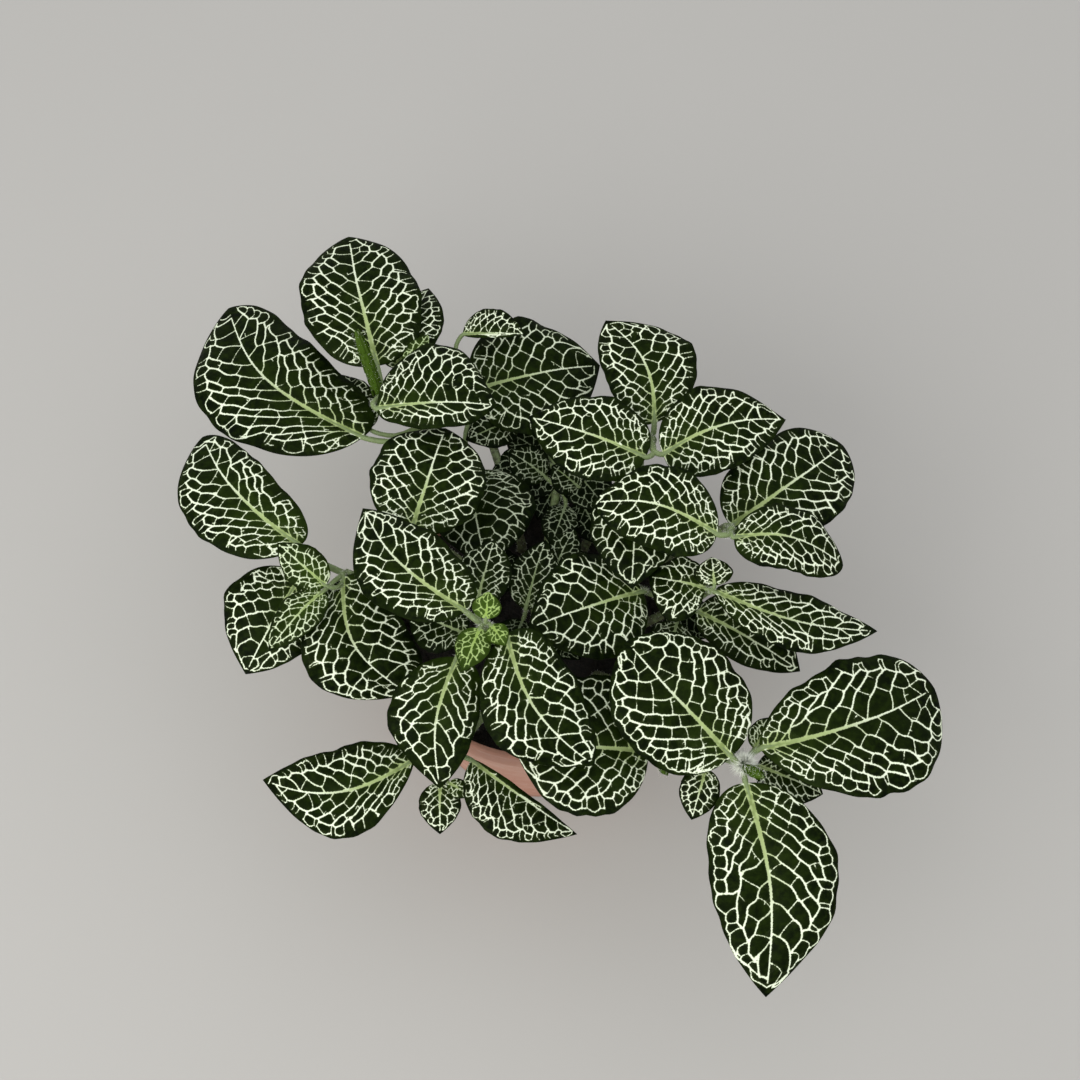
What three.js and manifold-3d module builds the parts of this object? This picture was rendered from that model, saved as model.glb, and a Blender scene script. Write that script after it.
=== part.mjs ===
// Potted nerve plant: a plain round pot of compost with sprawling leafy stems.
// Millimetres, +Z up. The origin is the middle of the flat face that the pot stands on.
import * as THREE from 'three';
import { mergeVertices } from 'three/addons/utils/BufferGeometryUtils.js';
import Module from 'manifold-3d';

const wasm = await Module();
wasm.setup();

// Pot
const POT_HEIGHT = 95;
const POT_FOOT_RADIUS = 46;
const POT_RIM_RADIUS = 56;
const POT_WALL = 1.8;
const POT_FLOOR = 2.4;
const COLLAR_HEIGHT = 13;
const COLLAR_STEP = 1.6;
const COLLAR_DRAFT = 0.4;
const COLLAR_ROUND = 1;
const RIM_ROLL = 1.2;
const FOOT_ROUND = 1.2;
const POT_SIDES = 44;
const DRAIN_COUNT = 8;
const DRAIN_RADIUS = 4;
const DRAIN_CIRCLE_RADIUS = 29;
const DRAIN_SIDES = 12;
const DRAIN_DEPTH = 4 * POT_FLOOR;

// Compost
const SOIL_TOP = 81;
const SOIL_LUMP = 1.3;
const SOIL_FOOT_ROUND = 2.4;
const HOLE_CLEARANCE = 0.65;
const WALL_GAP = 0.45;
const SOIL_RINGS = 4;
const SOIL_SIDES = 24;
const SEAT_GAP = 0.3;

// Stems and leaf stalks
const STEM_RADIUS = 2.1;
const STEM_SIDES = 6;
const STEM_STEPS = 7;
const STEM_FOOT = 72.5;
const STEM_COLLAR = 87;
const STEM_ARCH = 7;
const HOLE_SIDES = 8;
const STALK_RADIUS = 1.15;
const STALK_SIDES = 5;
const STALK_STEPS = 3;
const STALK_SUNK = 4;
const STALK_BEND = 0.33;
const YOUNG_WIDTH = 17;
const YOUNG_STALK = 0.75;
const BUD_SIDES = 6;
const BUD_PROFILE = [[0, 0], [0.8, 0.05], [1, 0.45], [0.62, 0.8], [0, 1]];

// Leaf blades
const BLADE_THICKNESS = 0.8;
const BLADE_STATIONS = [0.07, 0.19, 0.33, 0.48, 0.63, 0.78, 0.91];
const BLADE_COLUMNS = [-1, -0.52, 0, 0.52, 1];
const YOUNG_STATIONS = [0.12, 0.4, 0.75];
const YOUNG_COLUMNS = [-1, 0, 1];
const WIDEST_AT = 0.44;
const BASE_SHOULDER = 0.46;
const CREASE = 0.3;
const PILLOW = 0.34;
const WAVES_PER_SIDE = 2.3;
const WAVE_SHARE = 0.035;
const SIDE_PHASE = 0.27;
const ARCH_SHARE = 0.07;

// The plant is laid out as it looks from above at a tilt. A seen place is [across, rise, height]:
// mm to the right and mm upwards in a plane square to the line of sight, and mm above the table.
const VIEW_TILT = THREE.MathUtils.degToRad(67);
const VIEW_DISTANCE = 560;
const VIEW_TARGET = new THREE.Vector3(1, 13.5, 130);

const COLOURS = {
  pot: 0xa48d7b,
  soil: 0x2e241c,
  leaf: 0x2b4a1c,
};

/** The real point, at its height, that lies on the line of sight through a seen place. */
function placeSeen([across, rise, height]) {
  const ahead = new THREE.Vector3(0, Math.cos(VIEW_TILT), -Math.sin(VIEW_TILT));
  const upward = new THREE.Vector3(0, Math.sin(VIEW_TILT), Math.cos(VIEW_TILT));
  const eye = VIEW_TARGET.clone().addScaledVector(ahead, -VIEW_DISTANCE);
  const through = VIEW_TARGET.clone().addScaledVector(upward, rise);
  through.x += across;
  const ray = through.sub(eye);
  return eye.addScaledVector(ray, (height - eye.z) / ray.z);
}

/** Half width of a blade at share t of its length, as a share of its greatest half width. */
function outline(leaf, t) {
  const widest = leaf.widest ?? WIDEST_AT;
  if (t < widest) {
    const back = (widest - t) / widest;
    return Math.pow(1 - back * back, leaf.shoulder ?? BASE_SHOULDER);
  }
  const ahead = (t - widest) / (1 - widest);
  return 1 - Math.pow(ahead, leaf.point ?? 2);
}

/** Base, axes and length of a leaf. Its right half is raised by roll degrees. */
function leafFrame(leaf) {
  const base = placeSeen(leaf.base);
  const along = placeSeen(leaf.tip).sub(base);
  const length = along.length();
  along.normalize();
  const level = new THREE.Vector3().crossVectors(along, new THREE.Vector3(0, 0, 1)).normalize();
  const face = new THREE.Vector3().crossVectors(level, along);
  const roll = THREE.MathUtils.degToRad(leaf.roll ?? 0);
  const right = level.clone().multiplyScalar(Math.cos(roll)).addScaledVector(face, Math.sin(roll));
  const normal = face.clone().multiplyScalar(Math.cos(roll)).addScaledVector(level, -Math.sin(roll));
  return { base, along, right, normal, length };
}

/** Middle surface of a blade: t runs from base to tip, s from the left edge (-1) to the right (1). */
function bladePoint(leaf, frame, t, s) {
  const uneven = 1 + Math.sign(s) * (leaf.skew ?? 0);
  const half = 0.5 * leaf.width * outline(leaf, t) * uneven;
  const hump = Math.sin(Math.PI * t);
  const arch = (leaf.arch ?? ARCH_SHARE * frame.length) * hump;
  const bow = (leaf.bow ?? 0) * hump;
  const turn = 2 * Math.PI * (WAVES_PER_SIDE * t + leaf.phase + SIDE_PHASE * Math.sign(s));
  const wave = WAVE_SHARE * leaf.width * Math.sin(turn) * s * s * hump;
  const section = half * (CREASE * Math.abs(s) - PILLOW * s * s);
  const curl = (leaf.curl ?? 0) * Math.pow(t, 4);
  return frame.base
    .clone()
    .addScaledVector(frame.along, frame.length * t)
    .addScaledVector(frame.right, half * s + bow)
    .addScaledVector(frame.normal, arch + section + wave + curl);
}

/** A blade as one closed solid: two alike faces, met by a wall along the edge. */
function bladeGeometry(leaf) {
  const frame = leafFrame(leaf);
  const young = leaf.width <= YOUNG_WIDTH;
  const columns = young ? YOUNG_COLUMNS : BLADE_COLUMNS;
  const stations = young ? YOUNG_STATIONS : BLADE_STATIONS;
  const across = columns.length;
  const rows = stations.length;
  const positions = [];
  const triangles = [];
  const faceSize = rows * across + 2;
  for (const side of [0.5, -0.5]) {
    const lift = frame.normal.clone().multiplyScalar(side * BLADE_THICKNESS);
    positions.push(...bladePoint(leaf, frame, 0, 0).add(lift));
    for (const t of stations) {
      for (const s of columns) {
        positions.push(...bladePoint(leaf, frame, t, s).add(lift));
      }
    }
    positions.push(...bladePoint(leaf, frame, 1, 0).add(lift));
  }
  const at = (row, column) => 1 + row * across + column;
  const first = 0;
  const last = faceSize - 1;
  const addBoth = (a, b, c) => {
    triangles.push(a, b, c);
    triangles.push(a + faceSize, c + faceSize, b + faceSize);
  };
  for (let column = 0; column < across - 1; column += 1) {
    addBoth(first, at(0, column + 1), at(0, column));
    for (let row = 0; row < rows - 1; row += 1) {
      const near = [at(row, column), at(row, column + 1)];
      const far = [at(row + 1, column), at(row + 1, column + 1)];
      if (column < across / 2 - 1) {
        addBoth(near[0], near[1], far[1]);
        addBoth(near[0], far[1], far[0]);
      } else {
        addBoth(near[0], near[1], far[0]);
        addBoth(near[1], far[1], far[0]);
      }
    }
    addBoth(last, at(rows - 1, column), at(rows - 1, column + 1));
  }
  const rim = [first];
  for (let row = 0; row < rows; row += 1) rim.push(at(row, across - 1));
  rim.push(last);
  for (let row = rows - 1; row >= 0; row -= 1) rim.push(at(row, 0));
  rim.forEach((here, index) => {
    const next = rim[(index + 1) % rim.length];
    triangles.push(next, here, here + faceSize);
    triangles.push(next, here + faceSize, next + faceSize);
  });
  const geometry = new THREE.BufferGeometry();
  geometry.setAttribute('position', new THREE.Float32BufferAttribute(positions, 3));
  geometry.setIndex(triangles);
  return geometry;
}

/** A round bar along points, closed at both ends. */
function barGeometry(points, radius, sides, steps) {
  const section = new THREE.Shape();
  section.setFromPoints(
    Array.from({ length: sides }, (_, index) => {
      const angle = (2 * Math.PI * index) / sides;
      return new THREE.Vector2(radius * Math.cos(angle), radius * Math.sin(angle));
    }),
  );
  const extrudePath = new THREE.CatmullRomCurve3(points, false, 'centripetal');
  return new THREE.ExtrudeGeometry(section, { steps, extrudePath, bevelEnabled: false });
}

/** A closed geometry as a solid that can be cut and joined. */
function solidOf(geometry) {
  const plain = geometry.clone();
  plain.deleteAttribute('normal');
  plain.deleteAttribute('uv');
  const merged = mergeVertices(plain, 1e-4);
  return new wasm.Manifold(
    new wasm.Mesh({
      numProp: 3,
      vertProperties: Float32Array.from(merged.attributes.position.array),
      triVerts: Uint32Array.from(merged.index.array),
    }),
  );
}

/** A solid's surface as a geometry again. */
function geometryOf(solid) {
  const mesh = solid.getMesh();
  const geometry = new THREE.BufferGeometry();
  geometry.setAttribute('position', new THREE.Float32BufferAttribute(mesh.vertProperties, 3));
  geometry.setIndex(Array.from(mesh.triVerts));
  geometry.computeVertexNormals();
  return geometry;
}

/** Points of a stem: straight up out of its hole, over in an arch, and on through its nodes. */
function stemPoints(shoot) {
  const [x, y] = shoot.foot;
  const nodes = shoot.nodes.map(placeSeen);
  const collar = new THREE.Vector3(x, y, STEM_COLLAR);
  const middle = collar.clone().lerp(nodes[0], 0.5);
  middle.z += shoot.arch ?? STEM_ARCH;
  const upright = [STEM_FOOT, SOIL_TOP].map((height) => new THREE.Vector3(x, y, height));
  return [...upright, collar, middle, ...nodes];
}

/** A bud or young spike as a slim spindle from its base to its tip. */
function budGeometry(bud) {
  const from = placeSeen(bud.base);
  const along = placeSeen(bud.tip).sub(from);
  const spindle = new THREE.LatheGeometry(
    BUD_PROFILE.map(([radius, height]) => new THREE.Vector2(radius * bud.radius, height * along.length())),
    BUD_SIDES,
  );
  const turn = new THREE.Quaternion().setFromUnitVectors(new THREE.Vector3(0, 1, 0), along.normalize());
  spindle.applyQuaternion(turn);
  spindle.translate(from.x, from.y, from.z);
  return spindle;
}

/** One leafy stem as a single solid: its stem, its leaf stalks, its blades and its buds. */
function shootSolid(shoot) {
  const path = stemPoints(shoot);
  const nodes = shoot.nodes.map(placeSeen);
  let solid = solidOf(barGeometry(path, STEM_RADIUS, STEM_SIDES, STEM_STEPS));
  shoot.leaves.forEach((leaf) => {
    const frame = leafFrame(leaf);
    const sunk = STALK_SUNK / frame.length;
    const node = nodes[leaf.node ?? nodes.length - 1];
    const bend = frame.base.clone().addScaledVector(frame.along, -STALK_BEND * frame.base.distanceTo(node));
    bend.lerp(node, STALK_BEND);
    const stalk = [node, bend, frame.base, bladePoint(leaf, frame, sunk, 0)];
    const radius = STALK_RADIUS * (leaf.width > YOUNG_WIDTH ? 1 : YOUNG_STALK);
    solid = solid.add(solidOf(barGeometry(stalk, radius, STALK_SIDES, STALK_STEPS)));
    solid = solid.add(solidOf(bladeGeometry(leaf)));
  });
  (shoot.buds ?? []).forEach((bud) => {
    solid = solid.add(solidOf(budGeometry(bud)));
  });
  return solid;
}

// The leafy stems. foot is where a stem stands in the compost, and nodes are seen places along it. Each
// blade has its base and tip as seen places and its width. roll raises its right half by degrees, and
// arch, bow and curl bend it up, to its right and up at the tip, in mm. skew makes the right half wider,
// widest is where it is widest, shoulder is fuller below 0.5, and point is blunter above 2.
const SHOOTS = [
  {
    name: 'stem_upper_left',
    foot: [-20, 24],
    nodes: [[-38, 42, 112], [-55, 51, 130]],
    leaves: [
      { base: [-57, 61, 131], tip: [-67, 106, 124], width: 45, roll: -4, bow: -1, point: 2.4 },
      {
        base: [-57, 46, 135], tip: [-15, 47, 134], width: 37,
        roll: 4, skew: -0.42, widest: 0.58, point: 1.8,
      },
      { base: [-50, 60, 126], tip: [-39, 88, 119], width: 25, roll: 10 },
      {
        node: 0, base: [-62, 36, 115], tip: [-109, 81, 104], width: 49,
        roll: -2, bow: -11.5, skew: -0.1, point: 2.8,
      },
      { node: 0, base: [-60, 39, 113], tip: [-71, 58, 108], width: 17 },
      { base: [-47, 60, 131], tip: [-39, 72, 130], width: 8 },
    ],
    buds: [{ base: [-56, 50, 129], tip: [-64, 73, 143], radius: 2.6 }],
  },
  {
    name: 'stem_left',
    foot: [-30, 3],
    nodes: [[-68, -12, 124]],
    leaves: [
      { base: [-84, -2, 127], tip: [-118, 36, 119], width: 34, bow: -5, skew: -0.2, point: 2.5 },
      { base: [-69, -13, 127], tip: [-46, -54, 117], width: 38, roll: 10, bow: 9, widest: 0.54, point: 2.8 },
      { base: [-83, -12, 119], tip: [-103, -47, 108], width: 37, skew: 0.12 },
      { base: [-75, -16, 132], tip: [-92, -1, 137], width: 15, roll: 10, point: 1.7 },
      { base: [-76, -18, 132], tip: [-95, -39, 134], width: 16, roll: -8, point: 1.7 },
    ],
  },
  {
    name: 'stem_centre_left',
    foot: [-12, -14],
    nodes: [[-20, -31, 130], [-19, -30, 145]],
    leaves: [
      { base: [-26, -25, 147], tip: [-62, 11, 139], width: 33, roll: -4, bow: -5.5, point: 1.8 },
      { base: [-12, -33, 147], tip: [19, -79, 130], width: 35, roll: 6, bow: 7, point: 2.2 },
      { node: 0, base: [-22, -22, 133], tip: [-16, 0, 132], width: 19 },
      { node: 0, base: [-29, -41, 132], tip: [-35, -87, 114], width: 31, roll: 3, bow: 4, skew: 0.1 },
      { node: 0, base: [-26, -33, 126], tip: [-46, -25, 122], width: 22, arch: 0.5 },
      { base: [-19, -27.5, 150.3], tip: [-18, -18, 153], width: 10, point: 1.7 },
      { base: [-21, -31, 150], tip: [-27, -46, 152], width: 12, point: 1.7 },
      { base: [-17, -30, 150], tip: [-12, -37, 152], width: 8, point: 1.7 },
    ],
  },
  {
    name: 'stem_inner_left',
    foot: [-16, 8],
    nodes: [[-36, -2, 122], [-42, 0, 131]],
    leaves: [
      { base: [-45, 3, 134], tip: [-33, 39, 128], width: 41, roll: -4, point: 2.8 },
    ],
  },
  {
    name: 'stem_top',
    foot: [-6, 30],
    nodes: [[-22, 49, 114], [-24, 56, 118]],
    leaves: [
      { node: 0, base: [-24, 52, 116], tip: [21, 61, 110], width: 51, point: 2.2 },
      { base: [-27, 72, 124], tip: [-5, 72, 128], width: 12, roll: -10, skew: -0.7, arch: 1 },
      { node: 0, base: [-8, 42, 110], tip: [-26, 35, 114], width: 16, roll: 10 },
      { node: 0, base: [-26, 24, 113], tip: [-19, -9, 114], width: 38, skew: -0.2, point: 2.1 },
    ],
  },
  {
    name: 'stem_upper_right',
    foot: [14, 20],
    nodes: [[36, 33, 124], [39, 35, 134]],
    leaves: [
      { node: 0, base: [40, 41, 130], tip: [23, 75, 124], width: 35, bow: 6, skew: 0.1, curl: 3, point: 2.5 },
      { node: 0, base: [35, 22, 130], tip: [32, -17, 127], width: 33, roll: -6 },
      { base: [37, 29, 138], tip: [-4, 43, 132], width: 33, roll: 3, shoulder: 0.36, point: 1.9 },
      { base: [43, 30, 138], tip: [86, 42, 133], width: 33, roll: -6, bow: -3.5, shoulder: 0.38, point: 1.8 },
    ],
  },
  {
    name: 'stem_right',
    foot: [27, 8],
    nodes: [[65, 4, 128], [67, 3, 140]],
    leaves: [
      { base: [62, 2, 145], tip: [18, 13, 144], width: 32, roll: 4, bow: 4, point: 2.2 },
      { base: [68, 1, 143], tip: [106, -9, 132], width: 26, roll: 6, bow: -4, point: 2.1 },
      { node: 0, base: [67, 5, 129], tip: [106, 33, 118], width: 39, roll: -4, bow: 1, point: 2.8 },
    ],
  },
  {
    name: 'stem_lower_middle_right',
    foot: [28, -8],
    arch: -1,
    nodes: [[56, -19, 119], [60, -17, 125]],
    leaves: [
      {
        base: [61, -18, 127], tip: [118, -32, 115], width: 24,
        roll: 10, bow: 6.5, shoulder: 0.65, point: 1.8,
      },
      { base: [58, -17, 126], tip: [38, -13, 125], width: 25, skew: -0.2 },
      { node: 0, base: [55, -25, 117], tip: [91, -46, 106], width: 25, skew: -0.2, point: 2 },
      { base: [61, -16, 128], tip: [60, -6, 131], width: 14 },
    ],
  },
  {
    name: 'stem_lower_right',
    foot: [22, -22],
    nodes: [[71, -79, 119]],
    leaves: [
      { base: [67, -76, 124], tip: [30, -36, 129], width: 46, bow: -1, point: 2.6, curl: 2 },
      {
        base: [77, -73, 121], tip: [138, -52, 110], width: 50,
        bow: 4, skew: 0.08, widest: 0.56, shoulder: 0.72, point: 2.5,
      },
      { base: [72, -85, 121], tip: [79, -160, 96], width: 44, bow: -4, skew: -0.1, point: 1.9 },
      { base: [58, -80, 116], tip: [53, -98, 112], width: 14 },
      { base: [76, -79, 113], tip: [99, -89, 108], width: 19 },
      { base: [75, -73, 117], tip: [82, -62, 117], width: 10 },
    ],
    buds: [{ base: [71, -79, 121], tip: [78, -83, 130], radius: 2.6 }],
  },
  {
    name: 'stem_bottom',
    foot: [10, -26],
    nodes: [[42, -74, 110]],
    leaves: [
      { base: [38, -74, 112], tip: [-9, -73, 110], width: 51, skew: 0.06, point: 2.4 },
    ],
    buds: [{ base: [42, -74, 109], tip: [44, -82, 113], radius: 2 }],
  },
  {
    name: 'stem_middle',
    foot: [14, 2],
    nodes: [[36, -18, 112]],
    leaves: [
      { base: [36, -18, 117], tip: [-4, -31, 123], width: 40, roll: 4, point: 2.2 },
      { base: [48, -29, 112], tip: [44, -42, 109], width: 17 },
    ],
  },
  {
    name: 'stem_inner',
    foot: [0, -6],
    nodes: [[-3, -18, 108]],
    leaves: [
      { base: [-5, -24, 112], tip: [2, 0, 116], width: 18, roll: 4 },
      { base: [4, -14, 112], tip: [12, 4, 112], width: 14, roll: 10 },
    ],
  },
  {
    name: 'stem_inner_top',
    foot: [2, 14],
    nodes: [[6, 18, 104]],
    leaves: [
      { base: [2, 22, 108], tip: [-11, 31, 112], width: 16 },
      { base: [14, 18, 108], tip: [4, 26, 111], width: 14 },
      { base: [9, 12, 106], tip: [4, -2, 108], width: 14 },
    ],
  },
  {
    name: 'stem_lower_left',
    foot: [-8, -26],
    nodes: [[-31, -76, 105]],
    leaves: [
      { base: [-44, -77, 105], tip: [-97, -84, 97], width: 33, bow: -9, shoulder: 0.7, point: 1.8 },
      { base: [-24, -77, 107], tip: [13, -103, 99], width: 19, bow: 1.2, skew: 0.75, point: 1.7 },
      { base: [-35, -85, 102], tip: [-35, -103, 99], width: 15, point: 1.8 },
      { base: [-32, -85, 104], tip: [-24, -90, 105], width: 7, point: 1.7 },
    ],
  },
];

// Each blade's edge wave starts at its own place, spread evenly by the golden share.
const GOLDEN_SHARE = 0.618034;
SHOOTS.flatMap((shoot) => shoot.leaves).forEach((leaf, index) => {
  leaf.phase = (index * GOLDEN_SHARE) % 1;
});

/** Outer radius of the pot's tapered wall at a height. */
function wallRadius(height) {
  const underCollar = POT_RIM_RADIUS - COLLAR_STEP;
  return THREE.MathUtils.lerp(POT_FOOT_RADIUS, underCollar, height / (POT_HEIGHT - COLLAR_HEIGHT));
}

/** The pot: a tapered wall with a collar and a rounded rim, and drain holes in its floor. */
function potSolid() {
  const collar = POT_HEIGHT - COLLAR_HEIGHT;
  const rollStart = POT_HEIGHT - RIM_ROLL;
  const outside = [
    [0, 0],
    [POT_FOOT_RADIUS - FOOT_ROUND, 0],
    [POT_FOOT_RADIUS, FOOT_ROUND],
    [wallRadius(collar), collar],
    [POT_RIM_RADIUS - COLLAR_DRAFT, collar + COLLAR_ROUND],
    [POT_RIM_RADIUS, rollStart],
    [POT_RIM_RADIUS - RIM_ROLL / 2, POT_HEIGHT],
  ];
  const inside = [
    [POT_RIM_RADIUS - POT_WALL, POT_HEIGHT],
    [POT_RIM_RADIUS - POT_WALL - COLLAR_DRAFT, rollStart],
    [wallRadius(collar) - POT_WALL, collar - COLLAR_ROUND],
    [POT_FOOT_RADIUS - POT_WALL, POT_FLOOR + POT_WALL],
    [POT_FOOT_RADIUS - 2 * POT_WALL, POT_FLOOR],
    [0, POT_FLOOR],
  ];
  const points = [...outside, ...inside].map(([radius, height]) => new THREE.Vector2(radius, height));
  const shell = new THREE.LatheGeometry(points, POT_SIDES);
  shell.rotateX(Math.PI / 2);
  let pot = solidOf(shell);
  for (let index = 0; index < DRAIN_COUNT; index += 1) {
    const angle = (2 * Math.PI * (index + 0.5)) / DRAIN_COUNT;
    const drain = new THREE.CylinderGeometry(DRAIN_RADIUS, DRAIN_RADIUS, DRAIN_DEPTH, DRAIN_SIDES);
    drain.rotateX(Math.PI / 2);
    drain.translate(DRAIN_CIRCLE_RADIUS * Math.cos(angle), DRAIN_CIRCLE_RADIUS * Math.sin(angle), 0);
    pot = pot.subtract(solidOf(drain));
  }
  return pot;
}

/** Height of the compost's lumps at a place, from about -1 to 1. */
function lumpAt(x, y) {
  return Math.sin(0.41 * x + 1.3) * Math.cos(0.37 * y) + 0.4 * Math.sin(0.83 * x - 0.61 * y);
}

/** Compost: fills the pot to below the rim, with a lumpy top and a plain hole for each stem. */
function soilSolid() {
  const floor = POT_FLOOR + SEAT_GAP;
  const inside = (height) => wallRadius(height) - POT_WALL - WALL_GAP;
  const profile = [
    [0, floor],
    [inside(0) - SOIL_FOOT_ROUND, floor],
    [inside(0), floor + SOIL_FOOT_ROUND],
    [inside(SOIL_TOP), SOIL_TOP],
  ];
  for (let ring = SOIL_RINGS - 1; ring >= 0; ring -= 1) {
    profile.push([(inside(SOIL_TOP) * ring) / SOIL_RINGS, SOIL_TOP]);
  }
  const fill = new THREE.LatheGeometry(
    profile.map(([radius, height]) => new THREE.Vector2(radius, height)),
    SOIL_SIDES,
  );
  fill.rotateX(Math.PI / 2);
  const position = fill.attributes.position;
  for (let index = 0; index < position.count; index += 1) {
    const [x, y, z] = [position.getX(index), position.getY(index), position.getZ(index)];
    if (z > SOIL_TOP - SEAT_GAP) {
      position.setZ(index, z + SOIL_LUMP * lumpAt(x, y));
    }
  }
  let soil = solidOf(fill);
  const holeRadius = STEM_RADIUS + HOLE_CLEARANCE;
  SHOOTS.forEach(({ foot }) => {
    const depth = STEM_COLLAR - STEM_FOOT;
    const hole = new THREE.CylinderGeometry(holeRadius, holeRadius, depth + SEAT_GAP, HOLE_SIDES);
    hole.rotateX(Math.PI / 2);
    hole.translate(foot[0], foot[1], STEM_FOOT + (depth - SEAT_GAP) / 2);
    soil = soil.subtract(solidOf(hole));
  });
  return soil;
}

const group = new THREE.Group();

/** Adds one named piece to the group. */
function addPiece(name, solid, colour, roughness) {
  const material = new THREE.MeshStandardMaterial({ color: colour, roughness, metalness: 0 });
  const mesh = new THREE.Mesh(geometryOf(solid), material);
  mesh.name = name;
  group.add(mesh);
}

addPiece('pot', potSolid(), COLOURS.pot, 0.6);
addPiece('soil', soilSolid(), COLOURS.soil, 1);
SHOOTS.forEach((shoot) => addPiece(shoot.name, shootSolid(shoot), COLOURS.leaf, 0.5));

export default group;
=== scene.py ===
"""Finished look of a potted nerve plant, dressed around its fixed frame.

Lengths in the plant's own description are millimetres, as on a drawing of it. Meshes are metres.
"""
import logging
import math
import random
from dataclasses import dataclass
from enum import Enum
from typing import Sequence

import bmesh
import bpy
import numpy as np
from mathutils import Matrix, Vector
from mathutils.geometry import delaunay_2d_cdt


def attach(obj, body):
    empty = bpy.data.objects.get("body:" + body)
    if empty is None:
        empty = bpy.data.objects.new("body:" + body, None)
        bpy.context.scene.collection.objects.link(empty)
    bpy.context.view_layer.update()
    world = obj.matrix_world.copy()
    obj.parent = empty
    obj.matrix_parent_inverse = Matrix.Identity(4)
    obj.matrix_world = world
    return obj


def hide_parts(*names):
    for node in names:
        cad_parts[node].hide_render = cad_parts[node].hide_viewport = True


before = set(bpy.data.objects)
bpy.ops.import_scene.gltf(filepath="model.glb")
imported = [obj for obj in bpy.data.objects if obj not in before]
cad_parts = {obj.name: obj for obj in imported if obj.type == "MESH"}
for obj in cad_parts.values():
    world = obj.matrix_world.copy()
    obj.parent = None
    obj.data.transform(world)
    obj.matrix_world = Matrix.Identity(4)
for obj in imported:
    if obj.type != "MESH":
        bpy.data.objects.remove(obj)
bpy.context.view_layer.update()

LOG = logging.getLogger("nerve_plant")
MM = 0.001
SEED = 7
GOLDEN_SHARE = 0.618034
CARRIED = ("vein", "sap", "youth", "painted_shade", "core")
FAR_FROM_VEIN = 3.0
CAP_IN_RADII = 0.4
NODE_RADIUS = 2.2


# The seen frame that the plant is laid out in


@dataclass(frozen=True)
class Viewpoint:
    """Where the plant is looked at from, and the seen places that its leaves are laid out by."""

    tilt: float = math.radians(67)
    distance: float = 560
    target: tuple[float, float, float] = (1, 13.5, 130)
    span: float = 378

    @property
    def ahead(self) -> np.ndarray:
        """Unit vector of the line of sight."""
        return np.array([0, math.cos(self.tilt), -math.sin(self.tilt)])

    @property
    def upward(self) -> np.ndarray:
        """Unit vector that points up in the picture."""
        return np.array([0, math.sin(self.tilt), math.cos(self.tilt)])

    @property
    def eye(self) -> np.ndarray:
        """Place of the eye."""
        return np.array(self.target) - self.distance * self.ahead

    def place(self, seen: Sequence[float]) -> np.ndarray:
        """Finds the real point that lies at its height on the line through a seen place.

        Args:
            seen: Millimetres across, millimetres up in the picture, and height above the table.

        Returns:
            The point.
        """
        across, rise, height = seen
        through = np.array(self.target) + rise * self.upward + np.array([across, 0, 0])
        ray = through - self.eye
        return self.eye + ray * ((height - self.eye[2]) / ray[2])


VIEW = Viewpoint()


# Finishes


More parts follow.
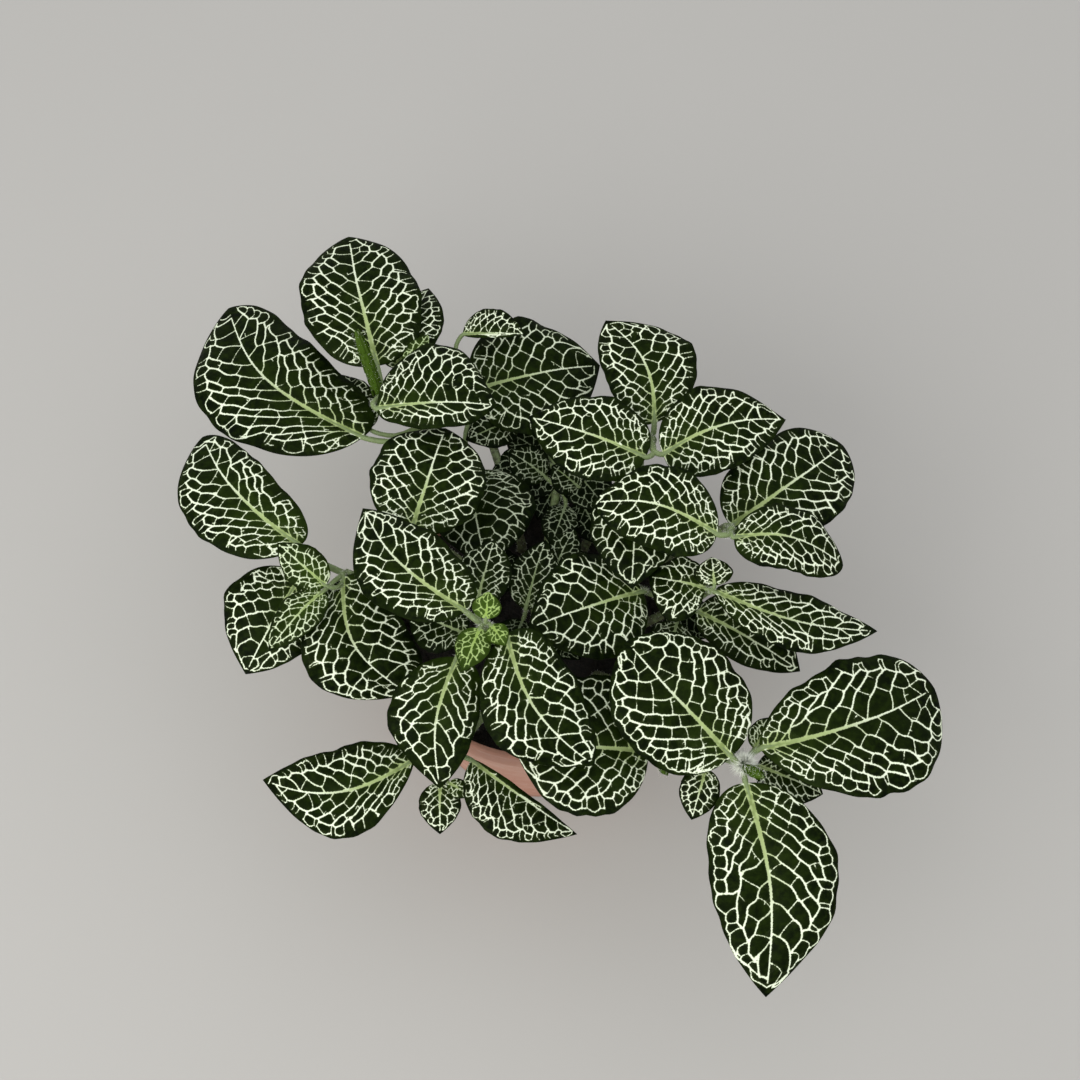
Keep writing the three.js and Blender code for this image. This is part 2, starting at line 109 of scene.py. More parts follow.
class Graph:
    """A material's node tree, with short calls that add and join nodes."""

    def __init__(self, name: str) -> None:
        """Starts a material.

        Args:
            name: Name of the material.
        """
        self.material = bpy.data.materials.new(name)
        self.material.use_nodes = True
        self.tree = self.material.node_tree
        self.shader = self.tree.nodes["Principled BSDF"]
        self.places = self.tree.nodes.new("ShaderNodeTexCoord").outputs["Object"]

    def join(self, value: object, socket: bpy.types.NodeSocket) -> None:
        """Links an output to a socket, or sets a plain value on it.

        Args:
            value: Output socket, number or colour.
            socket: Input socket.
        """
        if isinstance(value, bpy.types.NodeSocket):
            self.tree.links.new(value, socket)
        elif isinstance(value, tuple) and len(value) == 3 and socket.type == "RGBA":
            socket.default_value = (*value, 1)
        else:
            socket.default_value = value

    def attribute(self, name: str) -> bpy.types.NodeSocket:
        """Reads a number that the mesh carries.

        Args:
            name: Name of the attribute.

        Returns:
            Its value.
        """
        node = self.tree.nodes.new("ShaderNodeAttribute")
        node.attribute_name = name
        return node.outputs["Fac"]

    def noise(self, per_metre: float, detail: float = 3, roughness: float = 0.55) -> bpy.types.NodeSocket:
        """Adds soft noise on the piece's own places.

        Args:
            per_metre: Scale of the noise.
            detail: Number of octaves.
            roughness: Weight of the finer octaves.

        Returns:
            The noise, about 0 to 1.
        """
        node = self.tree.nodes.new("ShaderNodeTexNoise")
        self.join(self.places, node.inputs["Vector"])
        node.inputs["Scale"].default_value = per_metre
        node.inputs["Detail"].default_value = detail
        node.inputs["Roughness"].default_value = roughness
        return node.outputs["Fac"]

    def math(self, operation: str, first: object, second: object = 0.0) -> bpy.types.NodeSocket:
        """Adds a Math node.

        Args:
            operation: Name of the operation.
            first: First value.
            second: Second value.

        Returns:
            The result.
        """
        node = self.tree.nodes.new("ShaderNodeMath")
        node.operation = operation
        self.join(first, node.inputs[0])
        self.join(second, node.inputs[1])
        return node.outputs[0]

    def ramp(
        self, value: object, low: float, high: float, start: float = 0, end: float = 1
    ) -> bpy.types.NodeSocket:
        """Maps a range smoothly to another.

        Args:
            value: What is mapped.
            low: Value that gives start.
            high: Value that gives end.
            start: Result at low.
            end: Result at high.

        Returns:
            The mapped value.
        """
        node = self.tree.nodes.new("ShaderNodeMapRange")
        node.interpolation_type = "SMOOTHSTEP"
        for socket, part in zip(node.inputs[:5], (value, low, high, start, end)):
            self.join(part, socket)
        return node.outputs[0]

    def mix(self, share: object, first: object, second: object) -> bpy.types.NodeSocket:
        """Mixes two colours.

        Args:
            share: Share of the second.
            first: First colour.
            second: Second colour.

        Returns:
            The mixed colour.
        """
        node = self.tree.nodes.new("ShaderNodeMix")
        node.data_type = "RGBA"
        self.join(share, node.inputs[0])
        self.join(first, node.inputs[6])
        self.join(second, node.inputs[7])
        return node.outputs[2]

    def bump(self, height: object, depth: float, strength: float = 1) -> None:
        """Gives the surface a fine relief.

        Args:
            height: Height from 0 to 1.
            depth: Real height in metres.
            strength: Share of the effect.
        """
        node = self.tree.nodes.new("ShaderNodeBump")
        node.inputs["Strength"].default_value = strength
        node.inputs["Distance"].default_value = depth
        self.join(height, node.inputs["Height"])
        self.join(node.outputs[0], self.shader.inputs["Normal"])

    def set(self, name: str, value: object) -> None:
        """Sets or links one of the shader's inputs.

        Args:
            name: Name of the input.
            value: Number, colour or output.
        """
        self.join(value, self.shader.inputs[name])


@dataclass(frozen=True)
class BladeFinish:
    """Upper face of a blade: dark green cells between white veins, with a plain dark margin."""

    deep: tuple[float, float, float] = (0.0007, 0.0024, 0.0001)
    green: tuple[float, float, float] = (0.0078, 0.0150, 0.0012)
    bright: tuple[float, float, float] = (0.0195, 0.0375, 0.0030)
    young: tuple[float, float, float] = (0.042, 0.082, 0.007)
    young_vein: tuple[float, float, float] = (0.25, 0.37, 0.08)
    white: tuple[float, float, float] = (0.75, 0.81, 0.64)
    sap: tuple[float, float, float] = (0.34, 0.42, 0.18)
    base_sap: tuple[float, float, float] = (0.17, 0.225, 0.07)
    # Vein colour under painted shade, for leaves deep in the plant.
    shaded: tuple[float, float, float] = (0.17, 0.21, 0.13)

    def build(self) -> bpy.types.Material:
        """Makes the material.

        Returns:
            The material.
        """
        g = Graph("blade_upper")
        youth, painted_shade, core = g.attribute("youth"), g.attribute("painted_shade"), g.attribute("core")
        ragged = g.math("ADD", g.ramp(g.noise(1700, 2), 0.2, 0.8, -0.13, 0.13), g.attribute("vein"))
        vein = g.ramp(ragged, -0.06, 0.08, 1, 0)
        cell = g.mix(g.ramp(g.noise(420, 4, 0.6), 0.38, 0.72), self.deep, self.green)
        cell = g.mix(g.ramp(g.noise(75, 2), 0.35, 0.7, 0, 0.35), cell, self.green)
        lit = g.ramp(g.noise(160, 3), 0.3, 0.7, 0.15, 0.6)
        cell = g.mix(g.math("MULTIPLY", core, lit), cell, self.bright)
        tender = g.ramp(g.math("ADD", core, youth), 0.2, 1.2, 0.1, 1)
        cell = g.mix(g.math("MULTIPLY", youth, tender), cell, self.young)
        cell = g.mix(g.ramp(ragged, 0.05, 0.5, 0.04, 0), cell, self.sap)
        # Painted shade: cells of leaves deep in the plant are darkened towards the deep green.
        cell = g.mix(g.math("MULTIPLY", painted_shade, 0.8), cell, self.deep)
        pale = g.mix(g.ramp(g.attribute("sap"), 0, 0.65), self.white, self.sap)
        pale = g.mix(g.ramp(g.attribute("sap"), 0.65, 1.1), pale, self.base_sap)
        pale = g.mix(g.ramp(ragged, -0.16, 0.06, 0, 0.75), pale, self.sap)
        pale = g.mix(g.ramp(youth, 0.1, 0.75, 0, 0.9), pale, self.young_vein)
        # Painted shade: veins of leaves deep in the plant are greyed towards the shaded colour.
        pale = g.mix(painted_shade, pale, self.shaded)
        g.set("Base Color", g.mix(vein, cell, pale))
        g.set("Roughness", g.ramp(g.noise(900, 3), 0.3, 0.7, 0.42, 0.56))
        g.set("Specular IOR Level", 0.03)
        g.bump(g.math("ADD", g.noise(1500, 3, 0.6), g.math("MULTIPLY", vein, 0.5)), 0.00022, 0.55)
        return g.material


@dataclass(frozen=True)
class UndersideFinish:
    """Lower face of a blade: paler and matt, with raised light veins."""

    leaf: tuple[float, float, float] = (0.10, 0.155, 0.065)
    vein: tuple[float, float, float] = (0.34, 0.42, 0.22)
    young: tuple[float, float, float] = (0.16, 0.25, 0.07)

    def build(self) -> bpy.types.Material:
        """Makes the material.

        Returns:
            The material.
        """
        g = Graph("blade_underside")
        blotch = g.ramp(g.noise(500, 3), 0.3, 0.7, 0, 0.35)
        cell = g.mix(blotch, self.leaf, self.young)
        cell = g.mix(g.attribute("youth"), cell, self.young)
        vein = g.ramp(g.attribute("vein"), -0.1, 0.35, 0.75, 0)
        g.set("Base Color", g.mix(vein, cell, self.vein))
        g.set("Roughness", 0.62)
        g.set("Specular IOR Level", 0.3)
        g.bump(g.noise(1400, 3), 0.0002, 0.5)
        return g.material


@dataclass(frozen=True)
class StemFinish:
    """Stems and leaf stalks: matt green, turning dark and browner towards the stem's foot, partly for age
    and partly as painted shade deep in the plant.
    """

    fresh: tuple[float, float, float] = (0.165, 0.225, 0.085)
    aged_and_shaded: tuple[float, float, float] = (0.045, 0.045, 0.020)

    def build(self) -> bpy.types.Material:
        """Makes the material.

        Returns:
            The material.
        """
        g = Graph("stem_skin")
        streak = g.ramp(g.noise(600, 4), 0.3, 0.7, -0.25, 0.25)
        # Partly age, partly painted shade: the dark colour covers the low, old parts of the stems.
        age_and_shade = g.math("ADD", g.attribute("youth"), streak)
        g.set("Base Color", g.mix(g.ramp(age_and_shade, 0.1, 0.9), self.aged_and_shaded, self.fresh))
        g.set("Roughness", 0.6)
        g.bump(g.noise(2200, 3), 0.0002, 0.6)
        return g.material


@dataclass(frozen=True)
class HairFinish:
    """Fine whitish hairs on the young parts."""

    colour: tuple[float, float, float] = (0.70, 0.73, 0.62)
    pale: tuple[float, float, float] = (0.82, 0.84, 0.76)

    def build(self) -> bpy.types.Material:
        """Makes the material.

        Returns:
            The material.
        """
        g = Graph("stem_hair")
        g.set("Base Color", g.mix(g.noise(300, 1), self.colour, self.pale))
        g.set("Roughness", 0.6)
        return g.material


@dataclass(frozen=True)
class PotFinish:
    """Matt moulded pot in a pinkish terracotta colour, a little dusty, and darker in a band at its foot."""

    clay: tuple[float, float, float] = (0.41, 0.190, 0.130)
    faded: tuple[float, float, float] = (0.48, 0.270, 0.200)
    lime: tuple[float, float, float] = (0.62, 0.50, 0.42)
    dark_foot: tuple[float, float, float] = (0.20, 0.10, 0.07)

    def build(self) -> bpy.types.Material:
        """Makes the material.

        Returns:
            The material.
        """
        g = Graph("pot_moulded")
        colour = g.mix(g.ramp(g.noise(28, 4), 0.3, 0.7), self.clay, self.faded)
        colour = g.mix(g.ramp(g.noise(260, 5, 0.65), 0.56, 0.78, 0, 0.35), colour, self.lime)
        height = g.tree.nodes.new("ShaderNodeSeparateXYZ")
        g.join(g.places, height.inputs[0])
        wander = g.ramp(g.noise(60, 3), 0.2, 0.8, -0.006, 0.006)
        level = g.math("ADD", height.outputs[2], wander)
        # Darker in a wandering band along the foot of the pot.
        foot = g.ramp(level, 0.0, 0.012, 0.45, 0)
        colour = g.mix(foot, colour, self.dark_foot)
        g.set("Base Color", colour)
        g.set("Roughness", g.ramp(g.noise(150, 4), 0.3, 0.7, 0.50, 0.68))
        g.set("Specular IOR Level", 0.35)
        g.bump(g.noise(1800, 4, 0.7), 0.0002, 0.4)
        return g.material


@dataclass(frozen=True)
class SoilFinish:
    """Peat compost, kept very dark: partly the colour of damp peat and partly painted shade under the
    leaves.
    """

    peat: tuple[float, float, float] = (0.006, 0.005, 0.004)
    crumb: tuple[float, float, float] = (0.020, 0.015, 0.011)
    fibre: tuple[float, float, float] = (0.055, 0.038, 0.024)

    def build(self) -> bpy.types.Material:
        """Makes the material.

        Returns:
            The material.
        """
        g = Graph("peat_compost")
        # Painted shade: the peat colours are darkened further to stand for the shade under the leaves.
        colour = g.mix(g.ramp(g.noise(700, 5, 0.7), 0.35, 0.7), self.peat, self.crumb)
        colour = g.mix(g.ramp(g.noise(1500, 2), 0.66, 0.74, 0, 0.7), colour, self.fibre)
        g.set("Base Color", colour)
        g.set("Roughness", 0.95)
        g.bump(g.noise(1300, 5, 0.75), 0.0012, 1.0)
        return g.material


@dataclass(frozen=True)
class FloorFinish:
    """Plain pale floor."""

    colour: tuple[float, float, float] = (0.410, 0.400, 0.378)

    def build(self) -> bpy.types.Material:
        """Makes the material.

        Returns:
            The material.
        """
        g = Graph("pale_floor")
        worn = tuple(0.97 * part for part in self.colour)
        g.set("Base Color", g.mix(g.noise(6, 3), self.colour, worn))
        g.set("Roughness", 0.7)
        g.set("Specular IOR Level", 0.2)
        return g.material


class Finish(Enum):
    """Material slots of a leafy stem, in order."""

    BLADE = 0
    UNDERSIDE = 1
    STEM = 2
    HAIR = 3


# Meshes


class Shell:
    """Vertices, faces and carried numbers of one piece while it is put together."""

    def __init__(self) -> None:
        """Starts an empty shell."""
        self.points: list[np.ndarray] = []
        self.carried: list[np.ndarray] = []
        self.faces: list[tuple[int, ...]] = []
        self.finishes: list[int] = []
        self.count = 0

    def add(
        self,
        points: np.ndarray,
        faces: Sequence[tuple[int, ...]],
        finish: Finish,
        vein: object = FAR_FROM_VEIN,
        sap: object = 0.0,
        youth: object = 0.0,
        painted_shade: object = 0.0,
        core: object = 0.0,
    ) -> None:
        """Adds one closed or adjoining surface.

        Args:
            points: Places in millimetres, one row each.
            faces: Corner numbers that start at 0 in points.
            finish: Slot of its material.
            vein: Distance outside the nearest vein's edge, in millimetres.
            sap: Greenness of the vein.
            youth: How young the part is, from 0 to 1.
            painted_shade: Painted shade on a leaf that lies deep in the plant, from 0 to 1.
            core: Nearness to the midrib's base, from 0 to 1.
        """
        rows = len(points)
        self.points.append(points)
        numbers = (vein, sap, youth, painted_shade, core)
        self.carried.append(np.stack([np.broadcast_to(part, (rows,)) for part in numbers], 1))
        self.faces.extend(tuple(corner + self.count for corner in face) for face in faces)
        self.finishes.extend([finish.value] * len(faces))
        self.count += rows

    def piece(self, name: str, materials: Sequence[bpy.types.Material]) -> bpy.types.Object:
        """Makes the object.

        Args:
            name: Name of the piece.
            materials: Its materials in slot order.

        Returns:
            The object, at the origin.
        """
        mesh = bpy.data.meshes.new(name)
        mesh.from_pydata((np.concatenate(self.points) * MM).tolist(), [], self.faces)
        carried = np.concatenate(self.carried)
        for column, label in enumerate(CARRIED):
            layer = mesh.attributes.new(label, "FLOAT", "POINT")
            layer.data.foreach_set("value", np.ascontiguousarray(carried[:, column], dtype=np.float32))
        for material in materials:
            mesh.materials.append(material)
        mesh.polygons.foreach_set("material_index", self.finishes)
        mesh.polygons.foreach_set("use_smooth", [True] * len(mesh.polygons))
        mesh.update()
        piece = bpy.data.objects.new(name, mesh)
        bpy.context.scene.collection.objects.link(piece)
        return piece


def blend(first: np.ndarray, last: np.ndarray, low: float, high: float, at: float) -> np.ndarray:
    """Finds the place between two places that a curve reaches at low and at high.

    Args:
        first: Place at low.
        last: Place at high.
        low: Knot of the first place.
        high: Knot of the last place.
        at: Knot of the place that is wanted.

    Returns:
        The place.
    """
    return first + (last - first) * ((at - low) / (high - low))


def smooth_path(points: Sequence[np.ndarray], steps: int) -> np.ndarray:
    """Runs a centripetal Catmull-Rom curve through points.

    Args:
        points: Places that the curve passes through.
        steps: Number of steps between two points.

    Returns:
        The curve's places, one row each.
    """
    stops = [np.asarray(point, float) for point in points]
    stops = [2 * stops[0] - stops[1], *stops, 2 * stops[-1] - stops[-2]]
    places = []
    for run in zip(stops, stops[1:], stops[2:], stops[3:]):
        knots = [0.0]
        for one, other in zip(run, run[1:]):
            knots.append(knots[-1] + max(float(np.linalg.norm(other - one)), 1e-6) ** 0.5)
        for at in np.linspace(knots[1], knots[2], steps, endpoint=False):
            lines = [blend(run[i], run[i + 1], knots[i], knots[i + 1], at) for i in range(3)]
            bends = [blend(lines[i], lines[i + 1], knots[i], knots[i + 2], at) for i in range(2)]
            places.append(blend(bends[0], bends[1], knots[1], knots[2], at))
    places.append(stops[-2])
    return np.array(places)


def tube(
    shell: Shell,
    path: np.ndarray,
    radii: np.ndarray,
    finish: Finish,
    youth: object,
    sides: int = 10,
) -> None:
    """Adds a round tube with closed ends along a path.

    Args:
        shell: Shell that takes the tube.
        path: Places along the middle, one row each.
        radii: Radius at each place.
        finish: Slot of its material.
        youth: How young the skin is, one value or one for each place.
        sides: Number of sides.
    """
    heading = np.gradient(path, axis=0)
    heading /= np.linalg.norm(heading, axis=1)[:, None]
    side = np.cross(heading[0], [0.3, 0.5, 0.81])
    rings = []
    for place, ahead, radius in zip(path, heading, radii):
        side = side - ahead * (side @ ahead)
        side /= np.linalg.norm(side)
        other = np.cross(ahead, side)
        angles = np.arange(sides) * 2 * math.pi / sides
        rings.append(place + radius * (np.cos(angles)[:, None] * side + np.sin(angles)[:, None] * other))
    foot = path[:1] - heading[0] * radii[0] * CAP_IN_RADII
    head = path[-1:] + heading[-1] * radii[-1] * CAP_IN_RADII
    points = np.concatenate([*rings, foot, head])
    faces = []
    for ring in range(len(path) - 1):
        for spoke in range(sides):
            following = (spoke + 1) % sides
            low, high = ring * sides, (ring + 1) * sides
            faces.append((low + spoke, low + following, high + following, high + spoke))
    first, last, top = len(path) * sides, len(path) * sides + 1, (len(path) - 1) * sides
    for spoke in range(sides):
        following = (spoke + 1) % sides
        faces.append((first, following, spoke))
        faces.append((last, top + spoke, top + following))
    ages = np.broadcast_to(youth, (len(path),))
    carried = np.concatenate([np.repeat(ages, sides), ages[:1], ages[-1:]])
    shell.add(points, faces, finish, youth=carried)


# Blades and their net


@dataclass
class Blade:
    """One leaf. Base and tip are seen places, the other lengths are millimetres, and roll is degrees.

    The outline is set by widest (where along the leaf it is widest), shoulder (fullness of the base half),
    point and blunt (fullness of the tip half), skew (how much wider the right half is) and ripple. The form
    is set by arch, bow (bend to the right), curl (rise of the tip), crease, pillow and the waves. The net
    is set by open_net (share of cross veins left out), cell_scale and looped (how far side veins sweep and
    close in arches by the margin). Node is the stem's node that carries the leaf, youth sets its colour,
    painted_shade is painted shade that darkens a leaf deep in the plant and thins its veins, and phase
    varies its waves.
    """

    base: tuple[float, float, float]
    tip: tuple[float, float, float]
    width: float
    node: int = -1
    roll: float = 0
    arch: float | None = None
    bow: float = 0
    curl: float = 0
    skew: float = 0
    widest: float = 0.44
    shoulder: float = 0.46
    point: float = 2
    blunt: float = 1
    youth: float = 0
    open_net: float = 0
    cell_scale: float = 1
    looped: float = 0.3
    painted_shade: float = 0
    phase: float = 0

    crease: float = 0.3
    pillow: float = 0.34
    waves: float = 2.3
    wave_share: float = 0.035
    side_phase: float = 0.27
    ripple: float = 0.014

    def set_up(self) -> None:
        """Works out the blade's base, its axes and its length."""
        self.root = VIEW.place(self.base)
        along = VIEW.place(self.tip) - self.root
        self.length = float(np.linalg.norm(along))
        self.along = along / self.length
        level = np.cross(self.along, [0, 0, 1])
        level /= np.linalg.norm(level)
        face = np.cross(level, self.along)
        roll = math.radians(self.roll)
        self.right = level * math.cos(roll) + face * math.sin(roll)
        self.normal = face * math.cos(roll) - level * math.sin(roll)
        self.size = math.sqrt(self.length * self.width)

    def half(self, t: np.ndarray, side: object) -> np.ndarray:
        """Half width.

        Args:
            t: Share of the length from the base.
            side: -1 left and 1 right.

        Returns:
            Half width in millimetres.
        """
        t = np.clip(t, 0, 1)
        back = np.clip((self.widest - t) / self.widest, 0, 1)
        ahead = np.clip((t - self.widest) / (1 - self.widest), 0, 1)
        rear = (1 - back * back) ** self.shoulder
        front = (1 - ahead**self.point) ** self.blunt
        share = np.where(t < self.widest, rear, front)
        ripple = np.sin(2 * math.pi * (3.3 * t + self.phase) + 1.9 * np.asarray(side))
        ripple = ripple + 0.7 * np.sin(2 * math.pi * (7.4 * t + 2.3 * self.phase) - 1.1 * np.asarray(side))
        share = share * (1 - self.ripple * (1 + ripple) * np.sin(math.pi * t))
        return 0.5 * self.width * share * (1 + np.asarray(side) * self.skew)

    def surface(self, flat: np.ndarray, lift: object = 0.0) -> np.ndarray:
        """Bends flat places into the blade's real form.

        Args:
            flat: Millimetres along the midrib and to its right, one row each.
            lift: Height above the middle surface.

        Returns:
            Real places, one row each.
        """
        t = np.clip(flat[:, 0] / self.length, 0, 1)
        side = np.sign(flat[:, 1])
        half = self.half(t, side)
        s = np.clip(np.abs(flat[:, 1]) / np.maximum(half, 1e-4), 0, 1)
        hump = np.sin(math.pi * t)
        arch = (0.07 * self.length if self.arch is None else self.arch) * hump
        turn = 2 * math.pi * (self.waves * t + self.phase + self.side_phase * side)
        wave = self.wave_share * self.width * np.sin(turn) * s * s * hump
        frill = 0.008 * self.width * np.sin(3.1 * turn + 1.7 * side) * s**4 * hump
        section = half * (self.crease * s - self.pillow * s * s)
        rise = arch + section + wave + frill + self.curl * t**4 + lift
        return (
            self.root
            + np.outer(self.length * t, self.along)
            + np.outer(side * half * s + self.bow * hump, self.right)
            + np.outer(rise, self.normal)
        )

    def outline(self, step: float) -> np.ndarray:
        """Walks round the edge of the flat blade.

        Args:
            step: Greatest distance between two points.

        Returns:
            Flat places: up the right side to the tip and back down the left side.
        """
        fine = 0.5 - 0.5 * np.cos(np.linspace(0, math.pi, 400))
        sides = []
        for side in (1, -1):
            line = np.stack([fine * self.length, side * self.half(fine, side)], 1)
            run = np.concatenate([[0], np.cumsum(np.linalg.norm(np.diff(line, axis=0), axis=1))])
            stops = np.linspace(0, run[-1], max(8, math.ceil(run[-1] / step)) + 1)
            sides.append(np.stack([np.interp(stops, run, line[:, axis]) for axis in (0, 1)], 1))
        return np.concatenate([sides[0], sides[1][-2:0:-1]])


@dataclass
class Thread:
    """One drawn vein: flat places, half width and greenness at each, and whether the underside shows it."""

    places: np.ndarray
    widths: np.ndarray
    sap: np.ndarray
    main: bool


class Kind(Enum):
    """What a cell is: between side veins, along the margin, or beyond the margin, an end or the midrib."""

    INNER = 0
    OUTER = 1
    OUTSIDE = 2
    END = 3
    MIRROR = 4


@dataclass
class Cell:
    """One cell of the net: its row, its place among the side veins, its share of the way out, its kind."""

    row: int
    x: float
    share: float
    kind: Kind


@dataclass(frozen=True)
class NetRules:
    """Numbers that every net is drawn by. Lengths are shares of the cell size where no unit is given.

    Crowding is the power by which side veins crowd at the base and the tip, zigzag is how far cells side by
    side in a row are staggered, and cross_vein is the alignment below which a wall is a cross vein.
    """

    rim_row: int = -9
    line_points: int = 60
    edge_points: int = 120
    wall_points: int = 9
    table_steps: int = 32
    large_blade_mm: float = 52
    crowding: float = 1.75
    rim_depth: float = 0.66
    deepest_rim_share: float = 0.32
    rim_spacing: float = 0.88
    least_gap: float = 0.5
    cell_width: float = 1.02
    zigzag: float = 0.22
    guard_band: float = 1.2
    guard_gap_squared: float = 2.2
    joined_corners: float = 0.24
    longest_wall: float = 4.5
    cross_vein: float = 0.8
    thinnest_mm: float = 0.09
    rounding_mm: float = 0.075
    rounding_lift_mm: float = 0.05
    batch: int = 500


RULES = NetRules()


@dataclass
class Mosaic:
    """The cells on one side of a blade, the corners where cells meet, and the walls between two cells.

    Each corner is a place among the side veins and a way along them. A wall names its two cells and its
    two corners. Corners of one group lie on each other.
    """

    cells: Sequence[Cell]
    corners: np.ndarray
    walls: dict[tuple[int, int], list[int]]
    groups: list[int]

    def members(self) -> dict[int, list[int]]:
        """Lists the corners of each group.

        Returns:
            The numbers of its corners, for each group.
        """
        members: dict[int, list[int]] = {}
        for number, group in enumerate(self.groups):
            members.setdefault(group, []).append(number)
        return members

    def beside(self, kind: Kind) -> set[int]:
        """Finds the groups at which walls beside cells of one kind end.

        Args:
            kind: The kind of cell.

        Returns:
            The groups.
        """
        found = set()
        for pair, ends in self.walls.items():
            if any(self.cells[number].kind is kind for number in pair):
                found.update(self.groups[end] for end in ends)
        return found


def cell_corners(spots: np.ndarray) -> tuple[np.ndarray, dict[tuple[int, int], list[int]]]:
    """Finds the corners at which the cells round some spots meet.

    Args:
        spots: Middles of the cells, one row each.

    Returns:
        The corners, one row each, and for each two neighbours the corners that they share.
    """
    found, _, faces, origins, _, _ = delaunay_2d_cdt([Vector(spot) for spot in spots], [], [], 0, 1e-6)
    source = [origin[0] for origin in origins]
    spots = np.array([tuple(place) for place in found])
    a, b, c = (spots[[face[corner] for face in faces]] for corner in range(3))
    b, c = b - a, c - a
    twice = 2 * (b[:, 0] * c[:, 1] - b[:, 1] * c[:, 0])
    twice = np.where(np.abs(twice) < 1e-9, 1e-9, twice)
    bb, cc = (b**2).sum(1), (c**2).sum(1)
    steps = np.stack([c[:, 1] * bb - b[:, 1] * cc, b[:, 0] * cc - c[:, 0] * bb], 1)
    shared: dict[tuple[int, int], list[int]] = {}
    for number, face in enumerate(faces):
        for one, two in ((0, 1), (1, 2), (2, 0)):
            pair = tuple(sorted((source[face[one]], source[face[two]])))
            shared.setdefault(pair, []).append(number)
    return a + steps / twice[:, None], shared


